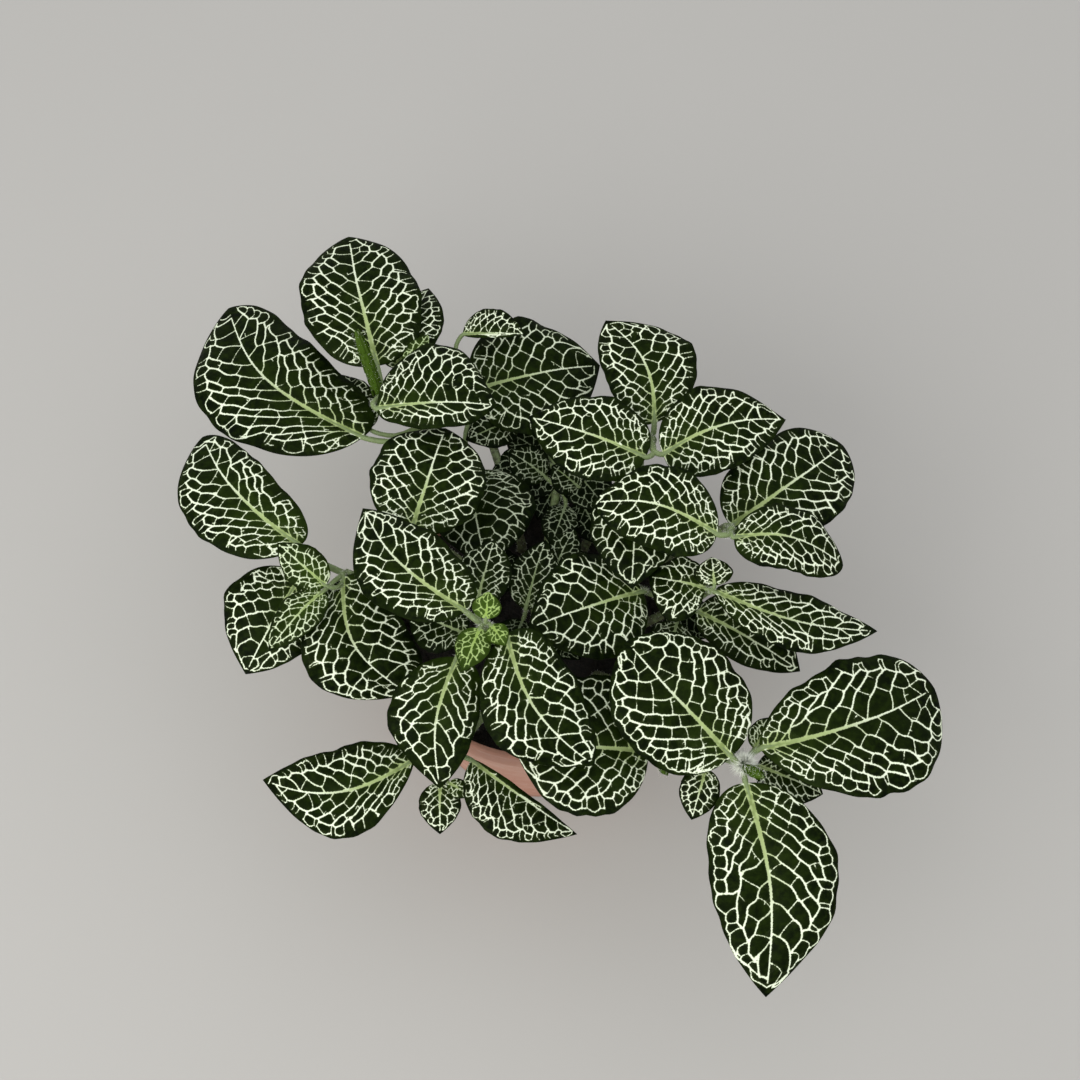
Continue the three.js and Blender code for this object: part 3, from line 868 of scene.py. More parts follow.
class VeinNet:
    """The net of one blade: a midrib, swept side veins, cells between them and by the margin, free ends."""

    def __init__(self, blade: Blade, seed: int) -> None:
        """Draws the net.

        Args:
            blade: The blade, already set up.
            seed: Seed of its irregularity.
        """
        self.blade = blade
        self.draw = random.Random(seed)
        # Painted shade also thins the veins of leaves deep in the plant.
        self.weight = (0.37 + 0.57 * min(1, blade.size / RULES.large_blade_mm)) * (1 - 0.3 * blade.painted_shade)
        self.pairs = max(6, round(4.5 + blade.length / 12))
        self.margin = 0.50 + 0.037 * blade.width
        self.cell = (1.25 + 0.062 * blade.size) * blade.cell_scale
        self.sweep = self.draw.uniform(0.12, 0.32) + 0.36 * blade.looped
        self.lean = min(2.2, max(0.7, 0.5 * blade.width / (0.5 * blade.length * (1 - self.sweep))))
        self.step = 0.7 + 0.55 * self.weight
        self.waves = [[self.draw.uniform(0, 2 * math.pi) for _ in range(4)] for _ in range(2)]
        self.threads: list[Thread] = []
        self._midrib()
        for side in (-1, 1):
            self._side(side)

    def _place(self, side: int, x: object, share: object) -> np.ndarray:
        """Finds flat places in the net.

        Args:
            side: -1 left and 1 right.
            x: Which side vein passes them, from 0 at the base to 1 at the tip.
            share: How far out they are along that vein, 1 at the end of the net.

        Returns:
            The flat places, with the shape of x and share and two numbers each.
        """
        x, share = np.clip(x, 0, 1), np.clip(share, 0, 1)
        start = 0.008 + 0.945 * x**RULES.crowding
        end = 0.03 + 0.93 * (1 - (1 - x) ** RULES.crowding)
        sweep = self.sweep * (1 - 0.8 * x**3)
        t = start + (end - start) * ((1 - sweep) * share + sweep * share * share)
        half = self.blade.half(t, side)
        along, across = self.blade.length * t, side * share * np.maximum(half - self.margin, 0.35 * half)
        k = 2 * math.pi / (2.8 * self.cell)
        amount = 0.10 * self.cell * np.minimum(1, np.abs(across) / self.cell)
        shifts = []
        for a, b, c, d in self.waves:
            first = np.sin(k * along + a) * np.cos(k * across + b)
            shifts.append(amount * (first + 0.5 * np.sin(1.9 * k * across + c + 1.3 * k * along + d)))
        return np.stack([along + shifts[0], across + shifts[1]], -1)

    def _reach(self, places: np.ndarray) -> np.ndarray:
        """Finds how far along the side veins flat places lie. A cross vein keeps this number.

        Args:
            places: Flat places.

        Returns:
            The way along the side veins, in millimetres.
        """
        across = np.abs(places[..., 1])
        slowed = 1 - 0.5 * np.minimum(1, across / (0.5 * self.blade.width))
        return places[..., 0] + self.lean * across * slowed

    def _shares(self, side: int, x: np.ndarray, reach: np.ndarray) -> np.ndarray:
        """Finds the shares at which side veins have come a given way.

        Args:
            side: -1 left and 1 right.
            x: The side veins, from 0 to 1.
            reach: How far along them, as from _reach.

        Returns:
            The shares, from 0 at the midrib to 1 at the end of the net.
        """
        steps = RULES.table_steps
        x, reach = np.asarray(x), np.asarray(reach)
        table = self._reach(self._place(side, x[..., None], np.linspace(0, 1, steps + 1)))
        table = np.maximum.accumulate(table, -1)
        index = np.clip((table < reach[..., None]).sum(-1), 1, steps)[..., None]
        low = np.take_along_axis(table, index - 1, -1)[..., 0]
        high = np.take_along_axis(table, index, -1)[..., 0]
        part = np.clip((reach - low) / np.maximum(high - low, 1e-6), 0, 1)
        return (index[..., 0] - 1 + part) / steps

    def _local(self, place: np.ndarray) -> float:
        """Finds the cell size at a place: small by the base, by the tip and towards the margin.

        Args:
            place: Flat place.

        Returns:
            The cell size in millimetres.
        """
        t = place[0] / self.blade.length
        half = float(self.blade.half(np.array([t]), np.sign(place[1]))[0])
        base = 0.56 + 0.44 * min(1, max(0, t / 0.42))
        tip = 0.72 + 0.28 * min(1, max(0, (1 - t) / 0.25))
        return self.cell * base * tip * (1.18 - 0.36 * min(1, abs(place[1]) / max(half, 1e-3)))

    def _keep(self, places: np.ndarray, widths: object, sap: object = 0.0, main: bool = False) -> None:
        """Keeps one drawn vein, with its points spread evenly.

        Args:
            places: Flat places.
            widths: Half widths.
            sap: Greenness.
            main: Whether it shows on the underside.
        """
        count = len(places)
        run = np.concatenate([[0], np.cumsum(np.linalg.norm(np.diff(places, axis=0), axis=1))])
        stops = np.linspace(0, run[-1], max(2, math.ceil(run[-1] / self.step) + 1))
        line = np.stack([np.interp(stops, run, places[:, axis]) for axis in (0, 1)], 1)
        wide = np.interp(stops, run, np.broadcast_to(widths, (count,))) * self.weight
        green = np.interp(stops, run, np.broadcast_to(sap, (count,)))
        self.threads.append(Thread(line, wide, green, main))

    def _midrib(self) -> None:
        """Draws the midrib."""
        t = np.linspace(0, 0.93, RULES.line_points)
        sway = 0.0022 * self.blade.length * np.sin(9 * t + self.waves[0][0]) * np.sin(math.pi * t)
        widths = 0.22 + 0.90 * (1 - t) ** 2
        places = np.stack([self.blade.length * t, sway], 1)
        self._keep(places, widths, np.clip(1.1 - 1.55 * t, 0, 1), True)

    def _side(self, side: int) -> None:
        """Draws the net on one side of the midrib.

        Args:
            side: -1 left and 1 right.
        """
        offset = 0.55 if side > 0 else 0.25
        marks = [index + offset + self.draw.uniform(-0.12, 0.12) for index in range(self.pairs)]
        rows = [mark / self.pairs for mark in marks]
        rows = [0.0, *[row for row in rows if 0.03 < row < 0.89], 1.0]
        xs = np.linspace(0, 1, RULES.line_points)
        edge = self._place(side, xs, 1.0)
        deep = np.array([self._rim_share(place) for place in edge])
        cells = self._rim_cells(side, xs, deep)
        for number, (low, high) in enumerate(zip(rows, rows[1:])):
            cells += self._sow(side, number, low, high, 1 - float(np.interp(0.5 * (low + high), xs, deep)))
        places: list[np.ndarray] = []
        spread = []
        for cell in cells:
            place = self._place(side, cell.x, cell.share)
            least = RULES.least_gap * self._local(place)
            if all(np.linalg.norm(place - other) > least for other in places):
                places.append(place)
                spread.append(cell)
        self._walls(side, rows, spread)

    def _rim_share(self, place: np.ndarray) -> float:
        """Share of the way out that the cells along the margin take up at a place at the net's end."""
        depth = RULES.rim_depth * self._local(place) / max(abs(place[1]), 1e-3)
        return min(RULES.deepest_rim_share, depth)

    def _rim_cells(self, side: int, xs: np.ndarray, deep: np.ndarray) -> list[Cell]:
        """Lays the row of cells along the margin.

        Args:
            side: -1 left and 1 right.
            xs: Places among the side veins, from 0 to 1.
            deep: Share of the way out that the row takes up at each of them.

        Returns:
            The cells.
        """
        middle = self._place(side, xs, 1 - 0.5 * deep)
        sizes = np.array([self._local(place) for place in middle])
        steps = np.linalg.norm(np.diff(middle, axis=0), axis=1) / (0.5 * (sizes[1:] + sizes[:-1]))
        run = np.concatenate([[0], np.cumsum(steps)])
        count = max(4, round(run[-1] / RULES.rim_spacing))
        cells = []
        for index in range(count):
            x = float(np.interp((index + 0.5 + self.draw.uniform(-0.14, 0.14)) / count * run[-1], run, xs))
            share = 1 - (0.5 + self.draw.uniform(-0.08, 0.08)) * float(np.interp(x, xs, deep))
            cells.append(Cell(RULES.rim_row, x, share, Kind.OUTER))
        return cells

    def _sow(self, side: int, number: int, low: float, high: float, limit: float) -> list[Cell]:
        """Spreads the cells of the row between two side veins, from the midrib to the row by the margin.

        Args:
            side: -1 left and 1 right.
            number: Number of the row.
            low: Place of the side vein nearer the base.
            high: Place of the next one.
            limit: Share at which the cells along the margin begin.

        Returns:
            The cells.
        """
        draw = self.draw
        middle = 0.5 * (low + high)
        shares = np.linspace(0, limit, RULES.line_points)
        line = self._place(side, middle, shares)
        run = np.concatenate([[0], np.cumsum(np.linalg.norm(np.diff(line, axis=0), axis=1))])
        narrowest = 0.55 if number % 2 else 0.34
        cells = []
        stops = self._stops(line, run, 0.75 if number % 2 else 1.5)
        for start, end in zip(stops, stops[1:]):
            share = float(np.interp(0.5 * (start + end), run, shares))
            veins = np.array([middle, middle, low, high])
            places = self._place(side, veins, share + np.array([0, 0.04, 0, 0]))
            flow = places[1] - places[0]
            flow /= np.linalg.norm(flow) + 1e-9
            gap = abs((places[3] - places[2]) @ np.array([-flow[1], flow[0]]))
            size = self._local(places[0])
            if gap < narrowest * size:
                continue
            reach = float(self._reach(places[0]))
            count = max(1, round(gap / (RULES.cell_width * size)))
            for index in range(count):
                x = low + (high - low) * (index + 0.5 + draw.uniform(-0.09, 0.09)) / count
                shift = 0.0 if count == 1 else RULES.zigzag * (1 if index % 2 else -1)
                there = reach + (end - start) * (shift + draw.uniform(-0.10, 0.10))
                found = float(self._shares(side, np.array(x), np.array(there)))
                if 0.01 < found < 0.97 * limit:
                    cells.append(Cell(number, x, found, Kind.INNER))
        return cells

    def _stops(self, line: np.ndarray, run: np.ndarray, stride: float) -> list[float]:
        """Divides a row into cells.

        Args:
            line: Flat places along its middle.
            run: Way to each of them in millimetres.
            stride: Length of the first cell.

        Returns:
            The ways at which the cells begin and end.
        """
        stops = [0.0]
        while stops[-1] < run[-1]:
            place = line[min(len(line) - 1, np.searchsorted(run, stops[-1]))]
            stops.append(stops[-1] + stride * self._local(place))
            stride = self.draw.uniform(1.15, 1.75)
        if len(stops) > 2 and stops[-1] - run[-1] > 0.5 * (stops[-1] - stops[-2]):
            stops.pop()
        return [stop * run[-1] / stops[-1] for stop in stops]

    def _walls(self, side: int, rows: Sequence[float], cells: Sequence[Cell]) -> None:
        """Draws the walls between cells as veins.

        Args:
            side: -1 left and 1 right.
            rows: Places of the side veins, with both ends.
            cells: The cells.
        """
        mosaic = self._mosaic(side, cells)
        self._straighten(rows, mosaic)
        self._fit_bounds(side, mosaic)
        rim = mosaic.beside(Kind.OUTSIDE)
        for (one, two), ends in mosaic.walls.items():
            groups = [mosaic.groups[end] for end in ends]
            if groups[0] != groups[1]:
                at_rim = not rim.isdisjoint(groups)
                self._wall(side, mosaic.cells[one], mosaic.cells[two], mosaic.corners[ends], at_rim)

    def _mosaic(self, side: int, cells: Sequence[Cell]) -> Mosaic:
        """Finds the corners and walls of the cells, and joins corners that nearly touch.

        Args:
            side: -1 left and 1 right.
            cells: The cells.

        Returns:
            The cells with their corners and walls.
        """
        stretch = np.array([1.25 * self.pairs, 0.66 / self.cell])
        spots = np.array([[cell.x, cell.share] for cell in cells])
        spots[:, 1] = self._reach(self._place(side, spots[:, 0], spots[:, 1]))
        spots *= stretch
        guards = self._guards(side, spots, cells, stretch)
        cells = [*cells, *[guard for _, guard in guards]]
        corners, shared = cell_corners(np.concatenate([spots, np.array([spot for spot, _ in guards])]))
        corners = corners / stretch
        walls = {}
        for (one, two), ends in shared.items():
            real = any(cells[number].kind in (Kind.INNER, Kind.OUTER) for number in (one, two))
            if len(ends) == 2 and real:
                walls[(one, two)] = ends
        corners[:, 0] = np.clip(corners[:, 0], 0, 1)
        places = self._place(side, corners[:, 0], self._shares(side, corners[:, 0], corners[:, 1]))
        groups = list(range(len(corners)))
        for ends in walls.values():
            touching = RULES.joined_corners * self._local(places[ends[0]])
            if np.linalg.norm(places[ends[0]] - places[ends[1]]) < touching:
                first, last = groups[ends[0]], groups[ends[1]]
                groups = [first if group == last else group for group in groups]
        mosaic = Mosaic(cells, corners, walls, groups)
        for members in mosaic.members().values():
            corners[members] = corners[members].mean(0)
        return mosaic

    def _guards(
        self, side: int, spots: np.ndarray, cells: Sequence[Cell], stretch: np.ndarray
    ) -> list[tuple[np.ndarray, Cell]]:
        """Mirrors cells by the midrib, the margin, the base and the tip, so that walls run along these.

        Args:
            side: -1 left and 1 right.
            spots: Stretched places of the cells.
            cells: The cells.
            stretch: What places among the side veins and ways along them are stretched by.

        Returns:
            The stretched place and the cell of each guard.
        """
        xs = np.linspace(0, 1, RULES.edge_points)
        guards = []
        for share, kind, chosen in ((0.0, Kind.MIRROR, Kind.INNER), (1.0, Kind.OUTSIDE, Kind.OUTER)):
            bound = np.stack([xs, self._reach(self._place(side, xs, share))], 1) * stretch
            for spot, cell in zip(spots, cells):
                gaps = ((bound - spot) ** 2).sum(1)
                if cell.kind is chosen and gaps.min() < RULES.guard_gap_squared:
                    guards.append((2 * bound[gaps.argmin()] - spot, Cell(cell.row, 0, 0, kind)))
        for spot, cell in zip(spots, cells):
            if spot[0] < RULES.guard_band:
                guards.append((spot * [-1, 1], Cell(cell.row, 0, 0, Kind.END)))
            if spot[0] > stretch[0] - RULES.guard_band:
                mirrored = np.array([2 * stretch[0] - spot[0], spot[1]])
                guards.append((mirrored, Cell(cell.row, 0, 0, Kind.END)))
        return guards

    def _straighten(self, rows: Sequence[float], mosaic: Mosaic) -> None:
        """Draws the corners between two rows towards the side vein that parts them.

        Args:
            rows: Places of the side veins, with both ends.
            mosaic: Cells, corners and walls. Its corners are moved.
        """
        pull = 0.30 + 0.52 * self.blade.looped
        members = mosaic.members()
        moved = set()
        for (one, two), ends in mosaic.walls.items():
            pair = (mosaic.cells[one], mosaic.cells[two])
            low, high = sorted(cell.row for cell in pair)
            if high - low != 1 or any(cell.kind is not Kind.INNER for cell in pair):
                continue
            for group in {mosaic.groups[end] for end in ends} - moved:
                moved.add(group)
                away = rows[high] - mosaic.corners[members[group][0], 0]
                mosaic.corners[members[group], 0] += pull * away

    def _fit_bounds(self, side: int, mosaic: Mosaic) -> None:
        """Puts corners on the midrib and the net's end, and turns the last walls square to that end.

        Args:
            side: -1 left and 1 right.
            mosaic: Cells, corners and walls. Its corners are moved.
        """
        corners, groups, members = mosaic.corners, mosaic.groups, mosaic.members()
        rim, inner = mosaic.beside(Kind.OUTSIDE), mosaic.beside(Kind.MIRROR)
        shares = self._shares(side, corners[:, 0], corners[:, 1])
        for group, numbers in members.items():
            if group in inner or group in rim:
                shares[numbers] = 0 if group in inner else 1
                corners[numbers, 1] = self._reach(self._place(side, corners[numbers, 0], shares[numbers]))
        xs = np.linspace(0, 1, RULES.edge_points)
        edge = self._place(side, xs, 1.0)
        for (one, two), ends in mosaic.walls.items():
            if not mosaic.cells[one].kind is mosaic.cells[two].kind is Kind.OUTER:
                continue
            for outer, other in (ends, ends[::-1]):
                if groups[outer] in rim - {groups[other]}:
                    place = self._place(side, corners[other, 0], shares[other])
                    nearest = ((edge - place) ** 2).sum(1).argmin()
                    corners[members[groups[outer]]] = xs[nearest], self._reach(edge[nearest])

    def _wall(self, side: int, one: Cell, two: Cell, ends: np.ndarray, at_rim: bool) -> None:
        """Draws the vein between two cells, and its free end where it meets the margin.

        Args:
            side: -1 left and 1 right.
            one: A cell.
            two: Its neighbour.
            ends: The two corners that they share: place among the side veins and way along them.
            at_rim: Whether it ends by the margin.
        """
        draw = self.draw
        kinds = {one.kind, two.kind}
        if Kind.MIRROR in kinds:
            return
        ends = ends[np.argsort(ends[:, 1])]
        along = np.linspace(0, 1, RULES.wall_points)[:, None]
        middle = RULES.wall_points // 2
        line = ends[0] + (ends[1] - ends[0]) * along
        shares = self._shares(side, line[:, 0], line[:, 1])
        places = self._place(side, line[:, 0], shares)
        step = places[-1] - places[0]
        length = float(np.linalg.norm(step))
        if length < 1e-3 or length > RULES.longest_wall * self.cell:
            return
        square = np.array([-step[1], step[0]])
        t = places[middle, 0] / self.blade.length
        base = 0.58 + 0.42 * min(1, max(0, t / 0.45))
        if Kind.OUTSIDE in kinds or Kind.END in kinds:
            if draw.random() < (self.blade.looped if Kind.OUTSIDE in kinds else 0.5):
                outward = square if square[1] * side > 0 else -square
                self._keep(places + 0.2 * outward * np.sin(math.pi * along), 0.2 * base)
            return
        share = float(shares[middle])
        radial = self._alignment(side, float(line[middle, 0]), share, step)
        main = one.row != two.row
        cross = not main and radial < RULES.cross_vein
        if cross and draw.random() < self.blade.open_net:
            return
        width = self._wall_width(share, radial, main) * base
        places = places + draw.uniform(-0.07, 0.07) * square * np.sin(math.pi * along)
        taper = np.linspace(1, 0.7 if at_rim else 1, RULES.wall_points)
        if cross and not at_rim and draw.random() < 0.09:
            places, taper = places[:6], np.linspace(1, 0.4, 6)
        near = abs(places[middle, 1]) / (0.25 * self.blade.width)
        sap = min(0.8, max(0.0, 0.75 - near)) * min(1.0, max(0.0, 1.1 - t)) * (1 if main else 0.5)
        self._keep(places, width * taper, sap, main)
        if at_rim:
            ahead = places[-1] - places[-3]
            self._tip(places[-1], ahead / (np.linalg.norm(ahead) + 1e-9), 0.7 * width)
        elif not main and draw.random() < 0.24:
            start = places[draw.randint(2, 4)]
            leave = square * draw.choice((-1, 1)) + step * draw.uniform(-0.5, 0.5)
            leave *= self.cell * draw.uniform(0.16, 0.36) / np.linalg.norm(leave)
            self._keep(np.linspace(start, start + leave, 4), np.linspace(0.15, RULES.thinnest_mm, 4))

    def _alignment(self, side: int, x: float, share: float, step: np.ndarray) -> float:
        """Finds how nearly a wall runs along the side veins.

        Args:
            side: -1 left and 1 right.
            x: Place of its middle among the side veins.
            share: Share of the way out there.
            step: The wall from end to end.

        Returns:
            1 for a wall along the side veins, and 0 for one across them.
        """
        flow = self._place(side, x, share + 0.03) - self._place(side, x, share - 0.03)
        flow /= np.linalg.norm(flow) + 1e-9
        return abs(float(step @ flow)) / float(np.linalg.norm(step))

    def _wall_width(self, share: float, radial: float, main: bool) -> float:
        """Draws the half width of a wall.

        Args:
            share: Share of the way out.
            radial: How nearly it runs along the side veins.
            main: Whether it parts two rows.

        Returns:
            The half width, before the blade's own weight.
        """
        thin = self.draw.uniform(0.11, 0.17) * (0.75 + 0.45 * share)
        thick = self.draw.uniform(0.15, 0.21) * (0.80 + 0.30 * share)
        width = thin + (thick - thin) * radial**2
        return max(width, 0.19 + 0.13 * min(1, share / 0.45)) if main else width

    def _tip(self, start: np.ndarray, flow: np.ndarray, width: float) -> None:
        """Draws a short free end that runs on towards the margin.

        Args:
            start: Where it starts.
            flow: The direction of the vein that it carries on.
            width: Half width at its start.
        """
        draw = self.draw
        length = self.margin * draw.uniform(0.15, 0.55) * (0.6 if self.blade.looped > 0.5 else 1)
        turn = draw.uniform(-0.35, 0.35)
        heading = flow + turn * np.array([-flow[1], flow[0]])
        places = np.linspace(start, start + heading * length, 4)
        self._keep(places, np.linspace(width, RULES.thinnest_mm, 4))

    def distance(self, flat: np.ndarray, main_only: bool = False) -> tuple[np.ndarray, np.ndarray]:
        """Distance of flat places outside the nearest vein's edge, rounded where veins meet.

        Args:
            flat: Flat places, one row each.
            main_only: Whether only veins that show on the underside count.

        Returns:
            Distances in millimetres, negative inside a vein, and the nearest vein's greenness.
        """
        threads = [thread for thread in self.threads if thread.main or not main_only]
        start = np.concatenate([thread.places[:-1] for thread in threads])
        step = np.concatenate([np.diff(thread.places, axis=0) for thread in threads])
        near = np.concatenate([thread.widths[:-1] for thread in threads])
        far = np.concatenate([thread.widths[1:] for thread in threads])
        green = np.concatenate([thread.sap[:-1] for thread in threads])
        square = np.maximum((step**2).sum(1), 1e-9)
        best = np.empty(len(flat))
        sap = np.empty(len(flat))
        for low in range(0, len(flat), RULES.batch):
            batch = slice(low, low + RULES.batch)
            across = flat[batch, None, 0] - start[None, :, 0]
            up = flat[batch, None, 1] - start[None, :, 1]
            share = np.clip((across * step[:, 0] + up * step[:, 1]) / square, 0, 1)
            gap = np.hypot(across - share * step[:, 0], up - share * step[:, 1])
            gap = gap - near - (far - near) * share
            nearest = gap.argmin(1)
            least = gap[np.arange(len(nearest)), nearest]
            close = np.exp((least[:, None] - gap) / RULES.rounding_mm).sum(1)
            best[batch] = least - RULES.rounding_mm * np.log(close) + RULES.rounding_lift_mm
            sap[batch] = green[nearest]
        return best, sap


@dataclass
class BladeMesh:
    """Turns a blade and its net into a closed thin leaf with quilted cells."""

    blade: Blade
    net: VeinNet
    upper_lift: float = 0.22
    lower_lift: float = -0.16
    quilt: float = 0.36
    rib: float = 0.14
    seed: int = 0

    def build(self, shell: Shell) -> None:
        """Adds the leaf to a shell.

        Args:
            shell: Shell that takes it.
        """
        step = self.net.step
        edge = self.blade.outline(1.35 * step)
        upper, upper_faces, upper_edge = self._spread(edge, step, False)
        lower, lower_faces, lower_edge = self._spread(edge, 2.1 * step, True)
        quilt = self.quilt * min(1, self.blade.size / 45)
        gap, sap = self.net.distance(upper)
        inside = self._inside(upper)
        swollen = 1 - np.exp(-np.maximum(gap, 0) / (0.25 * self.net.cell))
        raised = quilt * swollen * np.clip(inside / 1.5, 0, 1)
        under_gap = self.net.distance(lower, True)[0]
        ribs = self.rib * np.exp(-np.maximum(under_gap, 0) / 0.6)
        top = self.blade.surface(upper, self.upper_lift + raised)
        bottom = self.blade.surface(lower, self.lower_lift - ribs * np.clip(self._inside(lower), 0, 1))
        youth, painted_shade = self.blade.youth, self.blade.painted_shade
        t = upper[:, 0] / self.blade.length
        beside = np.abs(upper[:, 1]) / self.blade.width
        core = np.clip(1.15 - 1.2 * t, 0, 1) * np.clip(1.1 - 2.2 * beside, 0, 1)
        turned = [face[::-1] for face in upper_faces]
        shell.add(top, turned, Finish.BLADE, np.clip(gap, -1, 3), sap, youth, painted_shade, core)
        shell.add(bottom, lower_faces, Finish.UNDERSIDE, np.clip(under_gap, -1, 3), 0.0, youth, painted_shade)
        wall = np.concatenate([top[upper_edge], bottom[lower_edge]])
        count = len(edge)
        following = [(here + 1) % count for here in range(count)]
        faces = [(here, after, after + count, here + count) for here, after in enumerate(following)]
        shell.add(wall, faces, Finish.BLADE, FAR_FROM_VEIN, 0.0, youth, painted_shade)

    def _inside(self, flat: np.ndarray) -> np.ndarray:
        """Distance inside the edge, about, in millimetres."""
        t = flat[:, 0] / self.blade.length
        half = self.blade.half(t, np.sign(flat[:, 1]))
        return np.minimum(half - np.abs(flat[:, 1]), np.minimum(t, 1 - t) * self.blade.length)

    def _spread(
        self, edge: np.ndarray, step: float, under: bool
    ) -> tuple[np.ndarray, list[tuple[int, ...]], np.ndarray]:
        """Triangulates one face of the flat blade along its veins.

        Args:
            edge: Flat places round the blade.
            step: Distance between points along a vein.
            under: Whether it is the plainer lower face.

        Returns:
            Flat places, triangles, and the numbers of the edge's places.
        """
        places = [edge]
        edges = [(here, (here + 1) % len(edge)) for here in range(len(edge))]
        count = len(edge)
        flanks = []
        for thread in self.net.threads:
            if under and not thread.main:
                continue
            line, widths = thread.places, thread.widths
            keep = self._inside(line) > 0.12
            line, widths = line[keep], widths[keep]
            if len(line) < 2:
                continue
            places.append(line)
            edges.extend((count + here, count + here + 1) for here in range(len(line) - 1))
            count += len(line)
            heading = np.gradient(line, axis=0)
            heading /= np.linalg.norm(heading, axis=1)[:, None] + 1e-9
            across = np.stack([-heading[:, 1], heading[:, 0]], 1) * (widths + 0.30)[:, None]
            flanks.append(np.concatenate([line + across, line - across]))
        loose = np.concatenate(flanks)
        gap = self.net.distance(loose, under)[0]
        loose = loose[(gap > 0.08) & (self._inside(loose) > 0.3)]
        filler = [self._filler(2.0 * step, under, 0.42, 9)]
        if not under:
            filler.append(self._filler(1.05 * step, under, 0.30, 0.9))
        loose = np.concatenate([loose, *filler])
        spacing = 0.42 * step
        _, first = np.unique(np.round(loose / spacing).astype(int), axis=0, return_index=True)
        places.append(loose[np.sort(first)])
        flat_places = [Vector(place) for place in np.concatenate(places)]
        found, _, faces, origins, _, _ = delaunay_2d_cdt(flat_places, edges, [], 1, 1e-4)
        where = {}
        for number, sources in enumerate(origins):
            for source in sources:
                where[source] = number
        spots = np.array([tuple(place) for place in found])
        rim = np.array([where[here] for here in range(len(edge))])
        return spots, [tuple(face) for face in faces], rim

    def _filler(self, pitch: float, under: bool, least: float, most: float) -> np.ndarray:
        """Spreads points over the cells.

        Args:
            pitch: Distance between points.
            under: Whether it is the plainer lower face.
            least: Least distance from a vein, in pitches.
            most: Greatest distance from a vein, in pitches.

        Returns:
            Flat places.
        """
        line = pitch * 0.87
        along = np.arange(pitch / 2, self.blade.length, pitch)
        across = np.arange(-0.8 * self.blade.width, 0.8 * self.blade.width, line)
        grid = np.stack(np.meshgrid(along, across, indexing="ij"), -1).reshape(-1, 2)
        grid[:, 0] += np.where(np.round(grid[:, 1] / line).astype(int) % 2, pitch / 2, 0)
        jitter = np.random.RandomState(SEED + self.seed).uniform(-0.18, 0.18, grid.shape)
        grid += jitter * pitch
        grid = grid[self._inside(grid) > 0.45 * pitch]
        if not len(grid):
            return grid
        gap = self.net.distance(grid, under)[0]
        return grid[(gap > least * pitch) & (gap < most * pitch)]


# Leafy stems


@dataclass
class Bud:
    """A bud or young spike from a seen base to a seen tip."""

    base: tuple[float, float, float]
    tip: tuple[float, float, float]
    radius: float


